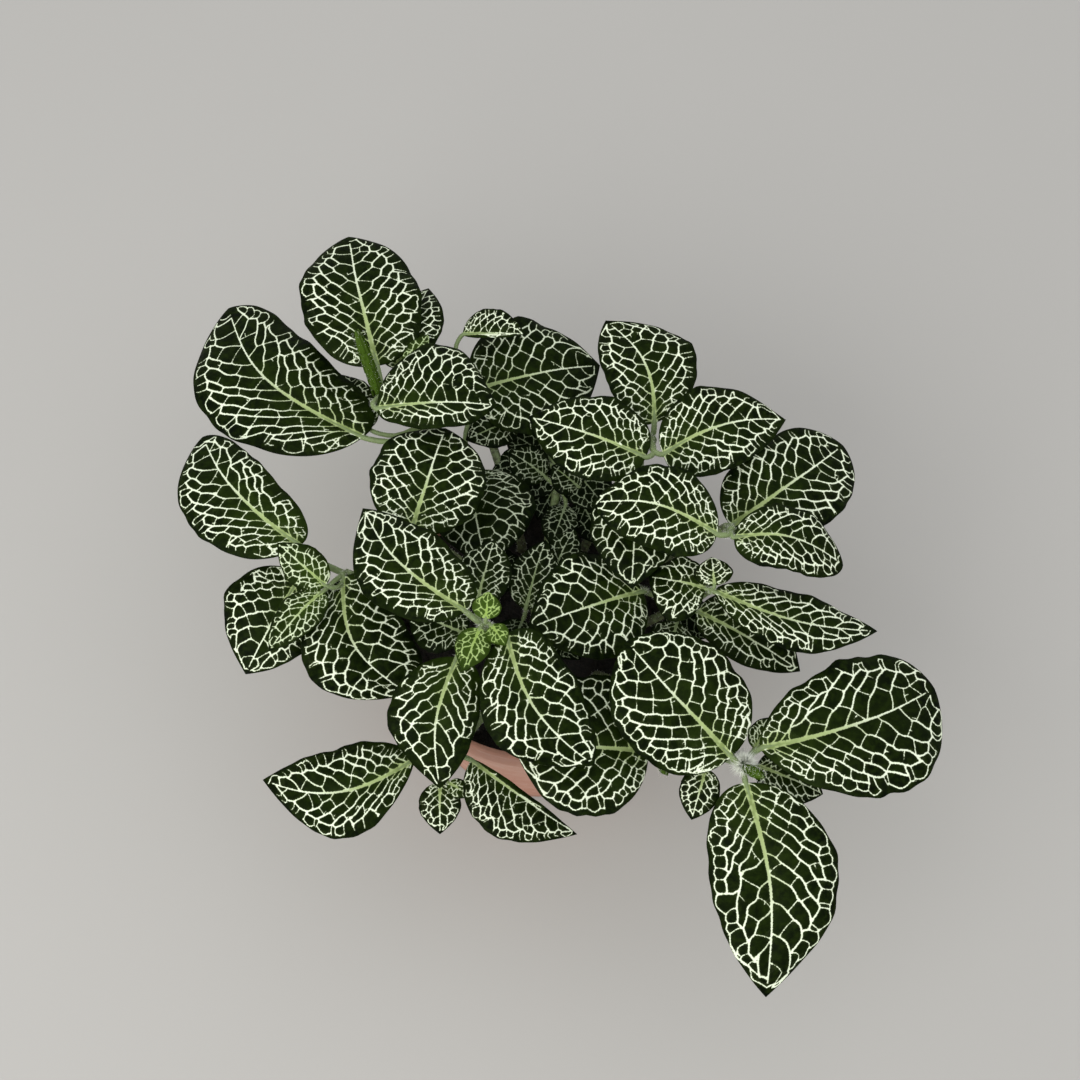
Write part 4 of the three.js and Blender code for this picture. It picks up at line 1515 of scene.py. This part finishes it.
@dataclass
class LeafyStem:
    """One stem with its leaf stalks, blades and buds. Fillers are small leaves that close gaps inside.

    Foot is millimetres on the table and nodes are seen places. Other lengths are millimetres.
    """

    name: str
    foot: tuple[float, float]
    nodes: Sequence[tuple[float, float, float]]
    leaves: Sequence[Blade]
    buds: Sequence[Bud] = ()
    fillers: Sequence[Blade] = ()
    fuzz: float = 0
    arch: float = 7
    stem_radius: float = 1.9
    stem_foot: float = 72.5
    soil_top: float = 81
    collar: float = 87
    stalk_radius: float = 1.12
    stalk_bend: float = 0.33

    def _stem_path(self) -> np.ndarray:
        """Runs the stem from the compost over its collar and through its nodes.

        Returns:
            Its middle line, one row each.
        """
        x, y = self.foot
        nodes = [VIEW.place(node) for node in self.nodes]
        collar = np.array([x, y, self.collar])
        middle = 0.5 * (collar + nodes[0])
        middle[2] += self.arch
        upright = [np.array([x, y, height]) for height in (self.stem_foot, self.soil_top)]
        return smooth_path([*upright, collar, middle, *nodes], 9)

    def build(self, materials: Sequence[bpy.types.Material], seed: int) -> bpy.types.Object:
        """Makes the finished stem.

        Args:
            materials: Materials in the order of Finish.
            seed: Seed of its irregularity.

        Returns:
            The piece.
        """
        shell = Shell()
        draw = random.Random(SEED * 1000 + seed)
        nodes = [VIEW.place(node) for node in self.nodes]
        path = self._stem_path()
        swell = sum(0.55 * np.exp(-((np.linalg.norm(path - node, axis=1) / 2.4) ** 2)) for node in nodes)
        # Youth along the stem also paints shade: the stem is darkest at its foot, deep in the plant.
        youth = np.linspace(0.0, 0.7, len(path))
        radii = self.stem_radius * np.linspace(1, 0.78, len(path)) + swell
        tube(shell, path, radii, Finish.STEM, youth, 12)
        self._hairs(shell, path, self.stem_radius * 0.85, 300, draw)
        for number, leaf in enumerate([*self.leaves, *self.fillers]):
            self._leaf(shell, leaf, nodes[leaf.node], seed * 20 + number, draw)
        for bud in self.buds:
            self._bud(shell, bud, draw)
        for node in nodes:
            self._tuft(shell, node, NODE_RADIUS, 110, draw)
            if self.fuzz:
                wool = round(1000 * self.fuzz)
                self._tuft(shell, node + [0, 0, 3], NODE_RADIUS, wool, draw, 4.6 * self.fuzz)
        return shell.piece(self.name + "_grown", materials)

    def _leaf(
        self, shell: Shell, leaf: Blade, node: np.ndarray, seed: int, draw: random.Random
    ) -> None:
        """Adds a stalk, the midrib under the blade, and the blade.

        Args:
            shell: Shell that takes them.
            leaf: The leaf.
            node: Where the stalk starts.
            seed: Seed of the leaf's net.
            draw: Random numbers for the hairs.
        """
        bend = leaf.root - leaf.along * self.stalk_bend * np.linalg.norm(leaf.root - node)
        bend += (node - bend) * self.stalk_bend
        under = np.stack([leaf.length * np.linspace(0.0, 0.78, 9), np.zeros(9)], 1)
        rib = leaf.surface(under, -0.45)
        steps = 4
        path = smooth_path([node, bend, leaf.root - leaf.normal * 0.25, *rib[1:]], steps)
        radius = self.stalk_radius * (0.62 + 0.38 * min(1, leaf.size / 45))
        reach = np.linalg.norm(path - node, axis=1) / max(np.linalg.norm(leaf.root - node), 1)
        radii = radius * np.interp(reach, [0, 0.9, 1.6, 6], [1.08, 0.95, 0.62, 0.2])
        tube(shell, path, radii, Finish.STEM, 0.85, 8)
        self._hairs(shell, path[: 2 * steps + 1], radius * 0.9, 60, draw)
        BladeMesh(leaf, VeinNet(leaf, SEED * 7919 + seed), seed=seed).build(shell)

    def _bud(self, shell: Shell, bud: Bud, draw: random.Random) -> None:
        """Adds a bud of overlapping pointed scales.

        Args:
            shell: Shell that takes it.
            bud: The bud.
            draw: Random numbers.
        """
        base, tip = VIEW.place(bud.base), VIEW.place(bud.tip)
        axis = tip - base
        length = float(np.linalg.norm(axis))
        axis /= length
        core = np.linspace(base, tip, 12)
        share = np.linspace(0, 1, 12)
        radii = bud.radius * 0.72 * np.sqrt(np.clip(np.sin(math.pi * (0.12 + 0.86 * share)), 0.02, 1))
        tube(shell, core, radii, Finish.STEM, 1.0, 10)
        side = np.cross(axis, [0.2, 0.9, 0.1])
        side /= np.linalg.norm(side)
        other = np.cross(axis, side)
        tiers = max(3, round(length / 3.2))
        for tier in range(tiers):
            for turn in range(2):
                angle = math.pi * turn + (math.pi / 2) * (tier % 2) + draw.uniform(-0.15, 0.15)
                out = math.cos(angle) * side + math.sin(angle) * other
                at = base + axis * length * (0.04 + 0.72 * tier / tiers)
                reach = length * (0.42 - 0.16 * tier / tiers) + 2
                self._scale(shell, at, axis, out, reach, bud.radius)
        self._hairs(shell, core, bud.radius * 0.9, 160, draw)

    def _scale(
        self, shell: Shell, at: np.ndarray, axis: np.ndarray, out: np.ndarray, reach: float, radius: float
    ) -> None:
        """Adds one pointed bud scale that hugs the bud.

        Args:
            shell: Shell that takes it.
            at: Foot of the scale on the bud's axis.
            axis: Bud's direction.
            out: Outward direction.
            reach: Length of the scale.
            radius: Radius of the bud.
        """
        across = np.cross(axis, out)
        rows, columns = 6, 5
        layers = []
        for lift in (0.16, -0.1):
            for row in range(rows):
                t = row / (rows - 1)
                wide = radius * 0.95 * (1 - t**2) ** 0.7 + 0.02
                for column in range(columns):
                    s = 2 * column / (columns - 1) - 1
                    hug = radius * (0.82 - 0.35 * s * s) * (1 - 0.55 * t * t) + lift
                    layers.append(at + axis * reach * t + out * hug + across * wide * s)
        points = np.array(layers)
        size = rows * columns
        faces = []
        for row in range(rows - 1):
            for column in range(columns - 1):
                a = row * columns + column
                quad = (a, a + 1, a + columns + 1, a + columns)
                faces.append(quad[::-1])
                faces.append(tuple(corner + size for corner in quad))
        ring = [*range(columns)]
        ring += [row * columns + columns - 1 for row in range(1, rows)]
        ring += [(rows - 1) * columns + column for column in range(columns - 2, -1, -1)]
        ring += [row * columns for row in range(rows - 2, 0, -1)]
        for here, following in zip(ring, ring[1:] + ring[:1]):
            faces.append((here, following, following + size, here + size))
        t = np.tile(np.repeat(np.linspace(0, 1, rows), columns), 2)
        s = np.tile(np.tile(np.linspace(-1, 1, columns), rows), 2)
        vein = np.abs(s) * 1.2 * (1 - t) + 0.1
        shell.add(points, faces, Finish.BLADE, vein, 0.6, 0.9, 0.0, 1.0)

    def _hairs(
        self, shell: Shell, path: np.ndarray, radius: float, count: int, draw: random.Random
    ) -> None:
        """Adds fine hairs that stand out round a path.

        Args:
            shell: Shell that takes them.
            path: Middle line.
            radius: Where the hairs start, from the middle.
            count: Number of hairs.
            draw: Random numbers.
        """
        heading = np.gradient(path, axis=0)
        for _ in range(count):
            at = draw.uniform(0.12, 0.999) * (len(path) - 1)
            low = int(at)
            place = path[low] + (path[min(low + 1, len(path) - 1)] - path[low]) * (at - low)
            ahead = heading[low] / (np.linalg.norm(heading[low]) + 1e-9)
            out = np.array([draw.gauss(0, 1) for _ in range(3)])
            out -= ahead * (out @ ahead)
            out /= np.linalg.norm(out) + 1e-9
            lean = out + ahead * draw.uniform(-0.2, 0.6)
            self._hair(shell, place + out * radius, lean, draw.uniform(0.5, 1.15))

    def _tuft(
        self,
        shell: Shell,
        node: np.ndarray,
        radius: float,
        count: int,
        draw: random.Random,
        length: float = 1.3,
    ) -> None:
        """Adds hairs all round a node.

        Args:
            shell: Shell that takes them.
            node: Middle of the node.
            radius: Radius of the swelling.
            count: Number of hairs.
            draw: Random numbers.
            length: Greatest length of a hair.
        """
        for _ in range(count):
            out = np.array([draw.gauss(0, 1) for _ in range(3)])
            out /= np.linalg.norm(out)
            self._hair(shell, node + out * radius * 0.85, out, length * draw.uniform(0.45, 1))

    def _hair(self, shell: Shell, root: np.ndarray, heading: np.ndarray, length: float) -> None:
        """Adds one hair as a slim closed spike.

        Args:
            shell: Shell that takes it.
            root: Its foot.
            heading: Its direction.
            length: Its length.
        """
        heading = heading / np.linalg.norm(heading)
        side = np.cross(heading, [0.31, 0.52, 0.79])
        side /= np.linalg.norm(side)
        other = np.cross(heading, side)
        thick = 0.05 if length < 1.4 else 0.09
        foot = [root + thick * (math.cos(a) * side + math.sin(a) * other) for a in (0, 2.094, 4.189)]
        points = np.array([*foot, root + heading * length])
        shell.add(points, [(0, 2, 1), (0, 1, 3), (1, 2, 3), (2, 0, 3)], Finish.HAIR)


STEMS = [
    LeafyStem("stem_upper_left", (-20, 24), [(-38, 42, 112), (-55, 51, 130)], [
        Blade((-57, 61, 131), (-67, 106, 124), 45, roll=-4, bow=-1, point=2.4, blunt=0.8),
        Blade((-57, 46, 135), (-15, 47, 134), 37, roll=4, skew=-0.42, widest=0.58, point=1.8),
        Blade((-50, 60, 126), (-39, 88, 119), 25, roll=10),
        Blade((-62, 36, 115), (-109, 81, 104), 49, node=0, roll=-2, bow=-11.5, skew=-0.1, point=2.8,
              blunt=0.75, looped=0.35, cell_scale=1.04),
        Blade((-60, 39, 113), (-71, 58, 108), 17, node=0),
        Blade((-47, 60, 131), (-39, 72, 130), 8, youth=0.5),
    ], [Bud((-56, 50, 129), (-64, 73, 143), 2.2)]),
    LeafyStem("stem_left", (-30, 3), [(-68, -12, 124)], [
        Blade((-84, -2, 127), (-118, 36, 119), 34, bow=-5, skew=-0.2, point=2.5, blunt=0.68, youth=0.12),
        Blade((-69, -13, 127), (-46, -54, 117), 38, roll=10, bow=9, widest=0.54, point=2.8, blunt=0.85),
        Blade((-83, -12, 119), (-103, -47, 108), 37, skew=0.12),
        Blade((-75, -16, 132), (-92, -1, 137), 15, roll=10, point=1.7, youth=0.35),
        Blade((-76, -18, 132), (-95, -39, 134), 16, roll=-8, point=1.7, youth=0.35),
    ]),
    LeafyStem("stem_centre_left", (-12, -14), [(-20, -31, 130), (-19, -30, 145)], [
        Blade((-26, -25, 147), (-62, 11, 139), 33, roll=-4, bow=-5.5, point=1.8),
        Blade((-12, -33, 147), (19, -79, 130), 35, roll=6, bow=7, point=2.2),
        Blade((-22, -22, 133), (-16, 0, 132), 19, node=0, painted_shade=0.4),
        Blade((-29, -41, 132), (-35, -87, 114), 31, node=0, roll=3, bow=4, skew=0.1, youth=0.1,
              open_net=0.5),
        Blade((-26, -33, 126), (-46, -25, 122), 22, node=0, arch=0.5, painted_shade=0.5),
        Blade((-19, -27.5, 150.3), (-18, -18, 153), 10, point=1.7, youth=0.75),
        Blade((-21, -31, 150), (-27, -46, 152), 12, point=1.7, youth=0.65),
        Blade((-17, -30, 150), (-12, -37, 152), 8, point=1.7, youth=0.8),
    ]),
    LeafyStem("stem_inner_left", (-16, 8), [(-36, -2, 122), (-42, 0, 131)], [
        Blade((-45, 3, 134), (-33, 39, 128), 41, roll=-4, point=2.8, blunt=0.85),
    ]),
    LeafyStem("stem_top", (-6, 30), [(-22, 49, 114), (-24, 56, 118)], [
        Blade((-24, 52, 116), (21, 61, 110), 51, node=0, point=2.2, painted_shade=0.25),
        Blade((-27, 72, 124), (-5, 72, 128), 12, roll=-10, skew=-0.7, arch=1),
        Blade((-8, 42, 110), (-26, 35, 114), 16, node=0, roll=10, painted_shade=0.5),
        Blade((-26, 24, 113), (-19, -9, 114), 38, node=0, skew=-0.2, point=2.1, painted_shade=0.5),
    ]),
    LeafyStem("stem_upper_right", (14, 20), [(36, 33, 124), (39, 35, 134)], [
        Blade((40, 41, 130), (23, 75, 124), 35, node=0, bow=6, skew=0.1, curl=3, point=2.5),
        Blade((35, 22, 130), (32, -17, 127), 33, node=0, roll=-6, painted_shade=0.15),
        Blade((37, 29, 138), (-4, 43, 132), 33, roll=3, shoulder=0.36, point=1.9),
        Blade((43, 30, 138), (86, 42, 133), 33, roll=-6, bow=-3.5, shoulder=0.38, point=1.8),
    ]),
    LeafyStem("stem_right", (27, 8), [(65, 4, 128), (67, 3, 140)], [
        Blade((62, 2, 145), (18, 13, 144), 32, roll=4, bow=4, point=2.2),
        Blade((68, 1, 143), (106, -9, 132), 26, roll=6, bow=-4, point=2.3, blunt=0.62),
        Blade((67, 5, 129), (106, 33, 118), 39, node=0, roll=-4, bow=1, point=2.8, blunt=0.62),
    ]),
    LeafyStem("stem_lower_middle_right", (28, -8), [(56, -19, 119), (60, -17, 125)], [
        Blade((61, -18, 127), (118, -32, 115), 24, roll=10, bow=6.5, shoulder=0.65, point=1.8),
        Blade((58, -17, 126), (38, -13, 125), 25, skew=-0.2),
        Blade((55, -25, 117), (91, -46, 106), 25, node=0, skew=-0.2),
        Blade((61, -16, 128), (60, -6, 131), 14),
    ], arch=-1),
    LeafyStem("stem_lower_right", (22, -22), [(71, -79, 119)], [
        Blade((67, -76, 124), (30, -36, 129), 46, bow=-1, point=2.6, blunt=0.75, curl=2, looped=1),
        Blade((77, -73, 121), (138, -52, 110), 50, bow=4, skew=0.08, widest=0.56, shoulder=0.72, point=2.5,
              blunt=0.62, looped=0.9, cell_scale=1.06, ripple=0.024),
        Blade((72, -85, 121), (79, -160, 96), 44, bow=-4, skew=-0.1, point=1.9, looped=1, cell_scale=1.12),
        Blade((58, -80, 116), (53, -98, 112), 14),
        Blade((76, -79, 113), (99, -89, 108), 19),
        Blade((75, -73, 117), (82, -62, 117), 10, youth=0.3),
    ], [Bud((71, -79, 121), (78, -83, 128), 2.0)], fuzz=1),
    LeafyStem("stem_bottom", (10, -26), [(42, -74, 110)], [
        Blade((38, -74, 112), (-9, -73, 110), 51, skew=0.06, point=2.4, looped=0.8),
    ], [Bud((42, -74, 109), (44, -82, 113), 2)]),
    LeafyStem("stem_middle", (14, 2), [(36, -18, 112)], [
        Blade((36, -18, 117), (-4, -31, 123), 40, roll=4, point=2.2),
        Blade((48, -29, 112), (44, -42, 109), 17, painted_shade=0.5),
    ], fillers=[
        Blade((45, -22, 108), (60, -34, 104), 17, painted_shade=0.85),
    ]),
    LeafyStem("stem_inner", (0, -6), [(-3, -18, 108)], [
        Blade((-5, -24, 112), (2, 0, 116), 18, roll=4, painted_shade=0.5),
        Blade((4, -14, 112), (12, 4, 112), 14, roll=10, painted_shade=0.7),
    ], fillers=[
        Blade((-8, -16, 104), (-22, -4, 103), 17, painted_shade=0.9),
        Blade((2, -26, 103), (14, -42, 100), 18, painted_shade=0.9),
        Blade((-6, -28, 103), (-14, -48, 100), 17, painted_shade=0.9),
        Blade((8, -8, 102), (22, -14, 101), 15, painted_shade=0.9),
    ]),
    LeafyStem("stem_inner_top", (2, 14), [(6, 18, 104)], [
        Blade((2, 22, 108), (-11, 31, 112), 16, painted_shade=0.7),
        Blade((14, 18, 108), (4, 26, 111), 14, painted_shade=0.7),
        Blade((9, 12, 106), (4, -2, 108), 14, painted_shade=0.8),
    ], fillers=[
        Blade((10, 26, 105), (24, 10, 107), 19, painted_shade=0.9),
        Blade((5, 27, 104), (-9, 15, 104), 17, painted_shade=0.85),
        Blade((4, 28, 107), (-12, 38, 107), 17, painted_shade=0.9),
        Blade((14, 14, 103), (22, -2, 103), 15, painted_shade=0.9),
        Blade((2, 27, 108), (-17, 24, 108), 17, painted_shade=0.8),
        Blade((7, 21, 102), (-1, 7, 102), 15, painted_shade=0.95),
    ]),
    LeafyStem("stem_lower_left", (-8, -26), [(-31, -76, 105)], [
        Blade((-44, -77, 105), (-97, -84, 97), 33, bow=-9, shoulder=0.7, point=1.8),
        Blade((-24, -77, 107), (13, -103, 99), 19, bow=1.2, skew=0.75, point=1.7),
        Blade((-35, -85, 102), (-35, -103, 99), 15, point=1.8),
        Blade((-32, -85, 104), (-24, -90, 105), 7, point=1.7, youth=0.3),
    ]),
]


# Pot and compost


def select_only(piece: bpy.types.Object) -> None:
    """Deselects everything, and makes one piece selected and active."""
    bpy.ops.object.select_all(action="DESELECT")
    piece.select_set(True)
    bpy.context.view_layer.objects.active = piece


@dataclass
class Pot:
    """Round tapered pot with a collar, a rounded rim and drain holes. Millimetres."""

    height: float = 95
    foot_radius: float = 46
    rim_radius: float = 56
    wall: float = 1.8
    floor: float = 2.4
    collar_height: float = 13
    collar_step: float = 1.6
    sides: int = 160
    drains: int = 8
    drain_radius: float = 4
    drain_circle: float = 29
    foot_rounding: float = 1.2

    def wall_radius(self, height: float) -> float:
        """Outer radius of the tapered wall at a height."""
        share = height / (self.height - self.collar_height)
        return self.foot_radius + (self.rim_radius - self.collar_step - self.foot_radius) * share

    def profile(self) -> list[tuple[float, float]]:
        """Draws the pot's section from the middle of its underside up the outside and down the inside.

        Returns:
            Radius and height of each point.
        """
        collar = self.height - self.collar_height
        top, rim, wall = self.height, self.rim_radius, self.wall
        under = [(self.foot_radius * share, 0.0) for share in (0.3, 0.6, 0.85)]
        turn = self.foot_rounding
        foot = [
            (self.foot_radius - turn + turn * math.sin(angle), turn - turn * math.cos(angle))
            for angle in (0, 0.5, 1.05, 1.57)
        ]
        side = [(self.wall_radius(h), h) for h in (8, 24, 44, 64, collar - 0.9, collar)]
        lip = [
            (rim - 0.9, collar + 0.05), (rim - 0.45, collar + 0.35), (rim - 0.35, collar + 1.0),
            (rim - 0.25, top - 5), (rim - 0.2, top - 2.6), (rim, top - 2.0), (rim, top - 0.9),
            (rim - 0.3, top - 0.3), (rim - 0.9, top), (rim - wall, top - 0.15),
            (rim - wall - 0.35, top - 0.9),
        ]
        inner = [(self.wall_radius(h) - wall, h) for h in (collar - 1, 60, 30, 6)]
        inside = self.foot_radius - wall
        bottom = [(inside - 1.2, self.floor + 0.6), (inside - 3, self.floor)]
        bottom += [(self.foot_radius * share, self.floor) for share in (0.6, 0.3)]
        return under + foot + side + lip + inner + bottom

    def build(self, material: bpy.types.Material) -> bpy.types.Object:
        """Makes the pot.

        Args:
            material: Its finish.

        Returns:
            The piece.
        """
        rings = self.profile()
        radius, height = rings[0]
        bpy.ops.object.select_all(action="DESELECT")
        bpy.ops.mesh.primitive_circle_add(
            vertices=self.sides, radius=radius * MM, fill_type="NGON", location=(0, 0, height * MM)
        )
        piece = bpy.context.object
        piece.name = "pot_moulded"
        select_only(piece)
        bpy.ops.object.transform_apply(location=True, rotation=True, scale=True)
        bpy.ops.object.mode_set(mode="EDIT")
        bpy.ops.mesh.select_mode(type="EDGE")
        mesh = bmesh.from_edit_mesh(piece.data)
        for face in mesh.faces:
            face.select_set(False)
        for edge in mesh.edges:
            edge.select_set(True)
        bmesh.update_edit_mesh(piece.data)
        for next_radius, next_height in rings[1:]:
            rise = (0, 0, (next_height - height) * MM)
            bpy.ops.mesh.extrude_edges_move(TRANSFORM_OT_translate={"value": rise})
            scale = next_radius / radius
            bpy.ops.transform.resize(value=(scale, scale, 1), center_override=(0, 0, next_height * MM))
            radius, height = next_radius, next_height
        bpy.ops.mesh.edge_face_add()
        bpy.ops.mesh.select_all(action="SELECT")
        bpy.ops.mesh.remove_doubles(threshold=1e-7)
        bpy.ops.mesh.normals_make_consistent(inside=False)
        bpy.ops.object.mode_set(mode="OBJECT")
        self._drill(piece)
        select_only(piece)
        bpy.ops.object.shade_smooth_by_angle(angle=math.radians(38))
        piece.data.materials.clear()
        piece.data.materials.append(material)
        return piece

    def _drill(self, piece: bpy.types.Object) -> None:
        """Cuts the drain holes.

        Args:
            piece: The pot.
        """
        for index in range(self.drains):
            angle = 2 * math.pi * (index + 0.5) / self.drains
            x, y = self.drain_circle * math.cos(angle), self.drain_circle * math.sin(angle)
            bpy.ops.object.select_all(action="DESELECT")
            bpy.ops.mesh.primitive_cylinder_add(
                vertices=40,
                radius=self.drain_radius * MM,
                depth=4 * self.floor * MM,
                location=(x * MM, y * MM, 0),
            )
            drill = bpy.context.object
            cut = piece.modifiers.new("drain", "BOOLEAN")
            cut.object = drill
            cut.operation = "DIFFERENCE"
            cut.solver = "EXACT"
            select_only(piece)
            bpy.ops.object.modifier_apply(modifier=cut.name)
            bpy.data.objects.remove(drill, do_unlink=True)


@dataclass
class Compost:
    """Peat compost that fills the pot, with a crumbly top."""

    pot: Pot
    top: float = 81
    lump: float = 1.3
    gap: float = 0.45
    seat: float = 0.3
    sides: int = 96
    rings: int = 26
    crumbs: int = 420

    def _lump_at(self, x: float, y: float) -> float:
        """Height of the lumps at a place, from about -1 to 1."""
        return math.sin(0.41 * x + 1.3) * math.cos(0.37 * y) + 0.4 * math.sin(0.83 * x - 0.61 * y)

    def _surface(self, x: float, y: float) -> float:
        """Height of the compost at a place, with fine crumbs."""
        broad = math.sin(1.9 * x + 0.7 * y) * math.sin(2.3 * y - 0.4 * x)
        fine = broad + 0.6 * math.sin(4.1 * x) * math.cos(3.7 * y)
        return self.top + self.lump * self._lump_at(x, y) + 0.35 * fine

    def build(self, material: bpy.types.Material) -> bpy.types.Object:
        """Makes the compost with its crumbs.

        Args:
            material: Its finish.

        Returns:
            The piece.
        """
        floor = self.pot.floor + self.seat
        inside = self.pot.wall_radius(self.top) - self.pot.wall - self.gap
        low = self.pot.wall_radius(0) - self.pot.wall - self.gap
        bpy.ops.object.select_all(action="DESELECT")
        bpy.ops.mesh.primitive_cone_add(
            vertices=self.sides,
            radius1=low * MM,
            radius2=inside * MM,
            depth=(self.top - floor) * MM,
            location=(0, 0, 0.5 * (self.top + floor) * MM),
        )
        piece = bpy.context.object
        piece.name = "compost_fill"
        select_only(piece)
        bpy.ops.object.transform_apply(location=True, rotation=True, scale=True)
        bpy.ops.object.mode_set(mode="EDIT")
        bpy.ops.mesh.select_mode(type="FACE")
        mesh = bmesh.from_edit_mesh(piece.data)
        for face in mesh.faces:
            face.select_set(face.normal.z > 0.9)
        bmesh.update_edit_mesh(piece.data)
        for _ in range(self.rings):
            bpy.ops.mesh.inset(thickness=1.85 * MM)
        bpy.ops.mesh.poke()
        bpy.ops.object.mode_set(mode="OBJECT")
        for vertex in piece.data.vertices:
            x, y = vertex.co.x / MM, vertex.co.y / MM
            if vertex.co.z > (self.top - 0.5) * MM:
                vertex.co.z = self._surface(x, y) * MM
        select_only(piece)
        bpy.ops.object.shade_smooth_by_angle(angle=math.radians(60))
        self._scatter(piece, inside)
        piece.data.materials.clear()
        piece.data.materials.append(material)
        return piece

    def _scatter(self, piece: bpy.types.Object, inside: float) -> None:
        """Spreads crumbs over the top and joins them to the compost.

        Args:
            piece: The compost.
            inside: Radius of the compost's top.
        """
        draw = random.Random(SEED + 11)
        bpy.ops.object.select_all(action="DESELECT")
        bpy.ops.mesh.primitive_ico_sphere_add(subdivisions=2, radius=MM)
        model = bpy.context.object
        crumbs = []
        for _ in range(self.crumbs):
            reach = (inside - 1.6) * math.sqrt(draw.random())
            angle = draw.uniform(0, 2 * math.pi)
            x, y = reach * math.cos(angle), reach * math.sin(angle)
            crumb = model.copy()
            crumb.data = model.data.copy()
            size = draw.choice((0.5, 0.7, 0.9, 1.3))
            stretch = [size * draw.uniform(0.7, 1.3) for _ in range(3)]
            phases = [draw.uniform(0, 6.28) for _ in range(3)]
            z = self._surface(x, y)
            for vertex in crumb.data.vertices:
                part = vertex.co / MM
                rough = 1 + 0.22 * sum(math.sin(2.7 * part[axis] + phases[axis]) for axis in range(3))
                spot = [part[axis] * stretch[axis] * rough + (x, y, z)[axis] for axis in range(3)]
                vertex.co = Vector([number * MM for number in spot])
            bpy.context.scene.collection.objects.link(crumb)
            crumbs.append(crumb)
        bpy.data.objects.remove(model, do_unlink=True)
        bpy.ops.object.select_all(action="DESELECT")
        for crumb in crumbs:
            crumb.select_set(True)
        piece.select_set(True)
        bpy.context.view_layer.objects.active = piece
        bpy.ops.object.join()


# Stage


@dataclass
class Stage:
    """Pale floor, soft studio light and the camera at the picture's angle."""

    floor_size: float = 6.0
    sensor: float = 36
    sky: tuple[float, ...] = (0.97, 0.98, 1.0, 1)
    sky_strength: float = 0.92
    aim: tuple[float, float, float] = (0, 0, 0.1)

    def build(self) -> None:
        """Makes the floor, the lights, the sky and the camera."""
        bpy.ops.object.select_all(action="DESELECT")
        bpy.ops.mesh.primitive_plane_add(size=self.floor_size, location=(0, 0, 0))
        floor = bpy.context.object
        floor.name = "floor"
        floor.data.materials.append(FloorFinish().build())
        self._light("key_light", (-0.66, -0.78, 0.98), 1.0, 11.0, (1.0, 0.985, 0.955))
        self._light("fill_light", (0.15, -0.15, 1.9), 1.8, 5.4, (0.97, 0.985, 1.0))
        sky = bpy.data.worlds.new("studio")
        sky.use_nodes = True
        background = sky.node_tree.nodes["Background"]
        background.inputs["Color"].default_value = self.sky
        background.inputs["Strength"].default_value = self.sky_strength
        bpy.context.scene.world = sky
        bpy.context.scene.view_settings.view_transform = "Standard"
        self._camera()

    def _light(
        self,
        name: str,
        place: tuple[float, float, float],
        size: float,
        power: float,
        colour: tuple[float, float, float],
    ) -> None:
        """Adds a soft square light that faces the plant.

        Args:
            name: Its name.
            place: Its place in metres.
            size: Its side in metres.
            power: Its power in watts.
            colour: Its colour.
        """
        lamp = bpy.data.lights.new(name, "AREA")
        lamp.size = size
        lamp.energy = power
        lamp.color = colour
        holder = bpy.data.objects.new(name, lamp)
        holder.location = place
        aim = Vector(self.aim) - Vector(place)
        holder.rotation_euler = aim.to_track_quat("-Z", "Y").to_euler()
        bpy.context.scene.collection.objects.link(holder)

    def _camera(self) -> None:
        """Adds the camera at the viewpoint."""
        lens = bpy.data.cameras.new("camera")
        lens.sensor_width = self.sensor
        lens.lens = self.sensor * VIEW.distance / VIEW.span
        lens.clip_start = 0.01
        camera = bpy.data.objects.new("camera", lens)
        camera.location = Vector(VIEW.eye * MM)
        aim = Vector(VIEW.ahead)
        camera.rotation_euler = aim.to_track_quat("-Z", "Y").to_euler()
        bpy.context.scene.collection.objects.link(camera)
        bpy.context.scene.camera = camera


def finish_piece(piece: bpy.types.Object, node: str) -> None:
    """Puts a piece in its body, in the place of its node, and reports it.

    Args:
        piece: The piece.
        node: Node that it stands for.
    """
    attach(piece, "root")
    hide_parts(node)
    LOG.info("%s: %d faces", piece.name, len(piece.data.polygons))


def main() -> None:
    """Builds the plant in its pot, piece by piece."""
    logging.basicConfig(level=logging.INFO, format="%(name)s %(message)s")
    Stage().build()
    pot = Pot()
    finish_piece(pot.build(PotFinish().build()), "pot")
    finish_piece(Compost(pot).build(SoilFinish().build()), "soil")
    finishes = (BladeFinish(), UndersideFinish(), StemFinish(), HairFinish())
    materials = [finish.build() for finish in finishes]
    leaves = [leaf for stem in STEMS for leaf in stem.leaves]
    leaves += [leaf for stem in STEMS for leaf in stem.fillers]
    for index, leaf in enumerate(leaves):
        leaf.phase = (index * GOLDEN_SHARE) % 1
        leaf.set_up()
    for index, stem in enumerate(STEMS):
        finish_piece(stem.build(materials, index), stem.name)
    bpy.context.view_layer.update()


if __name__ == "__main__":
    main()
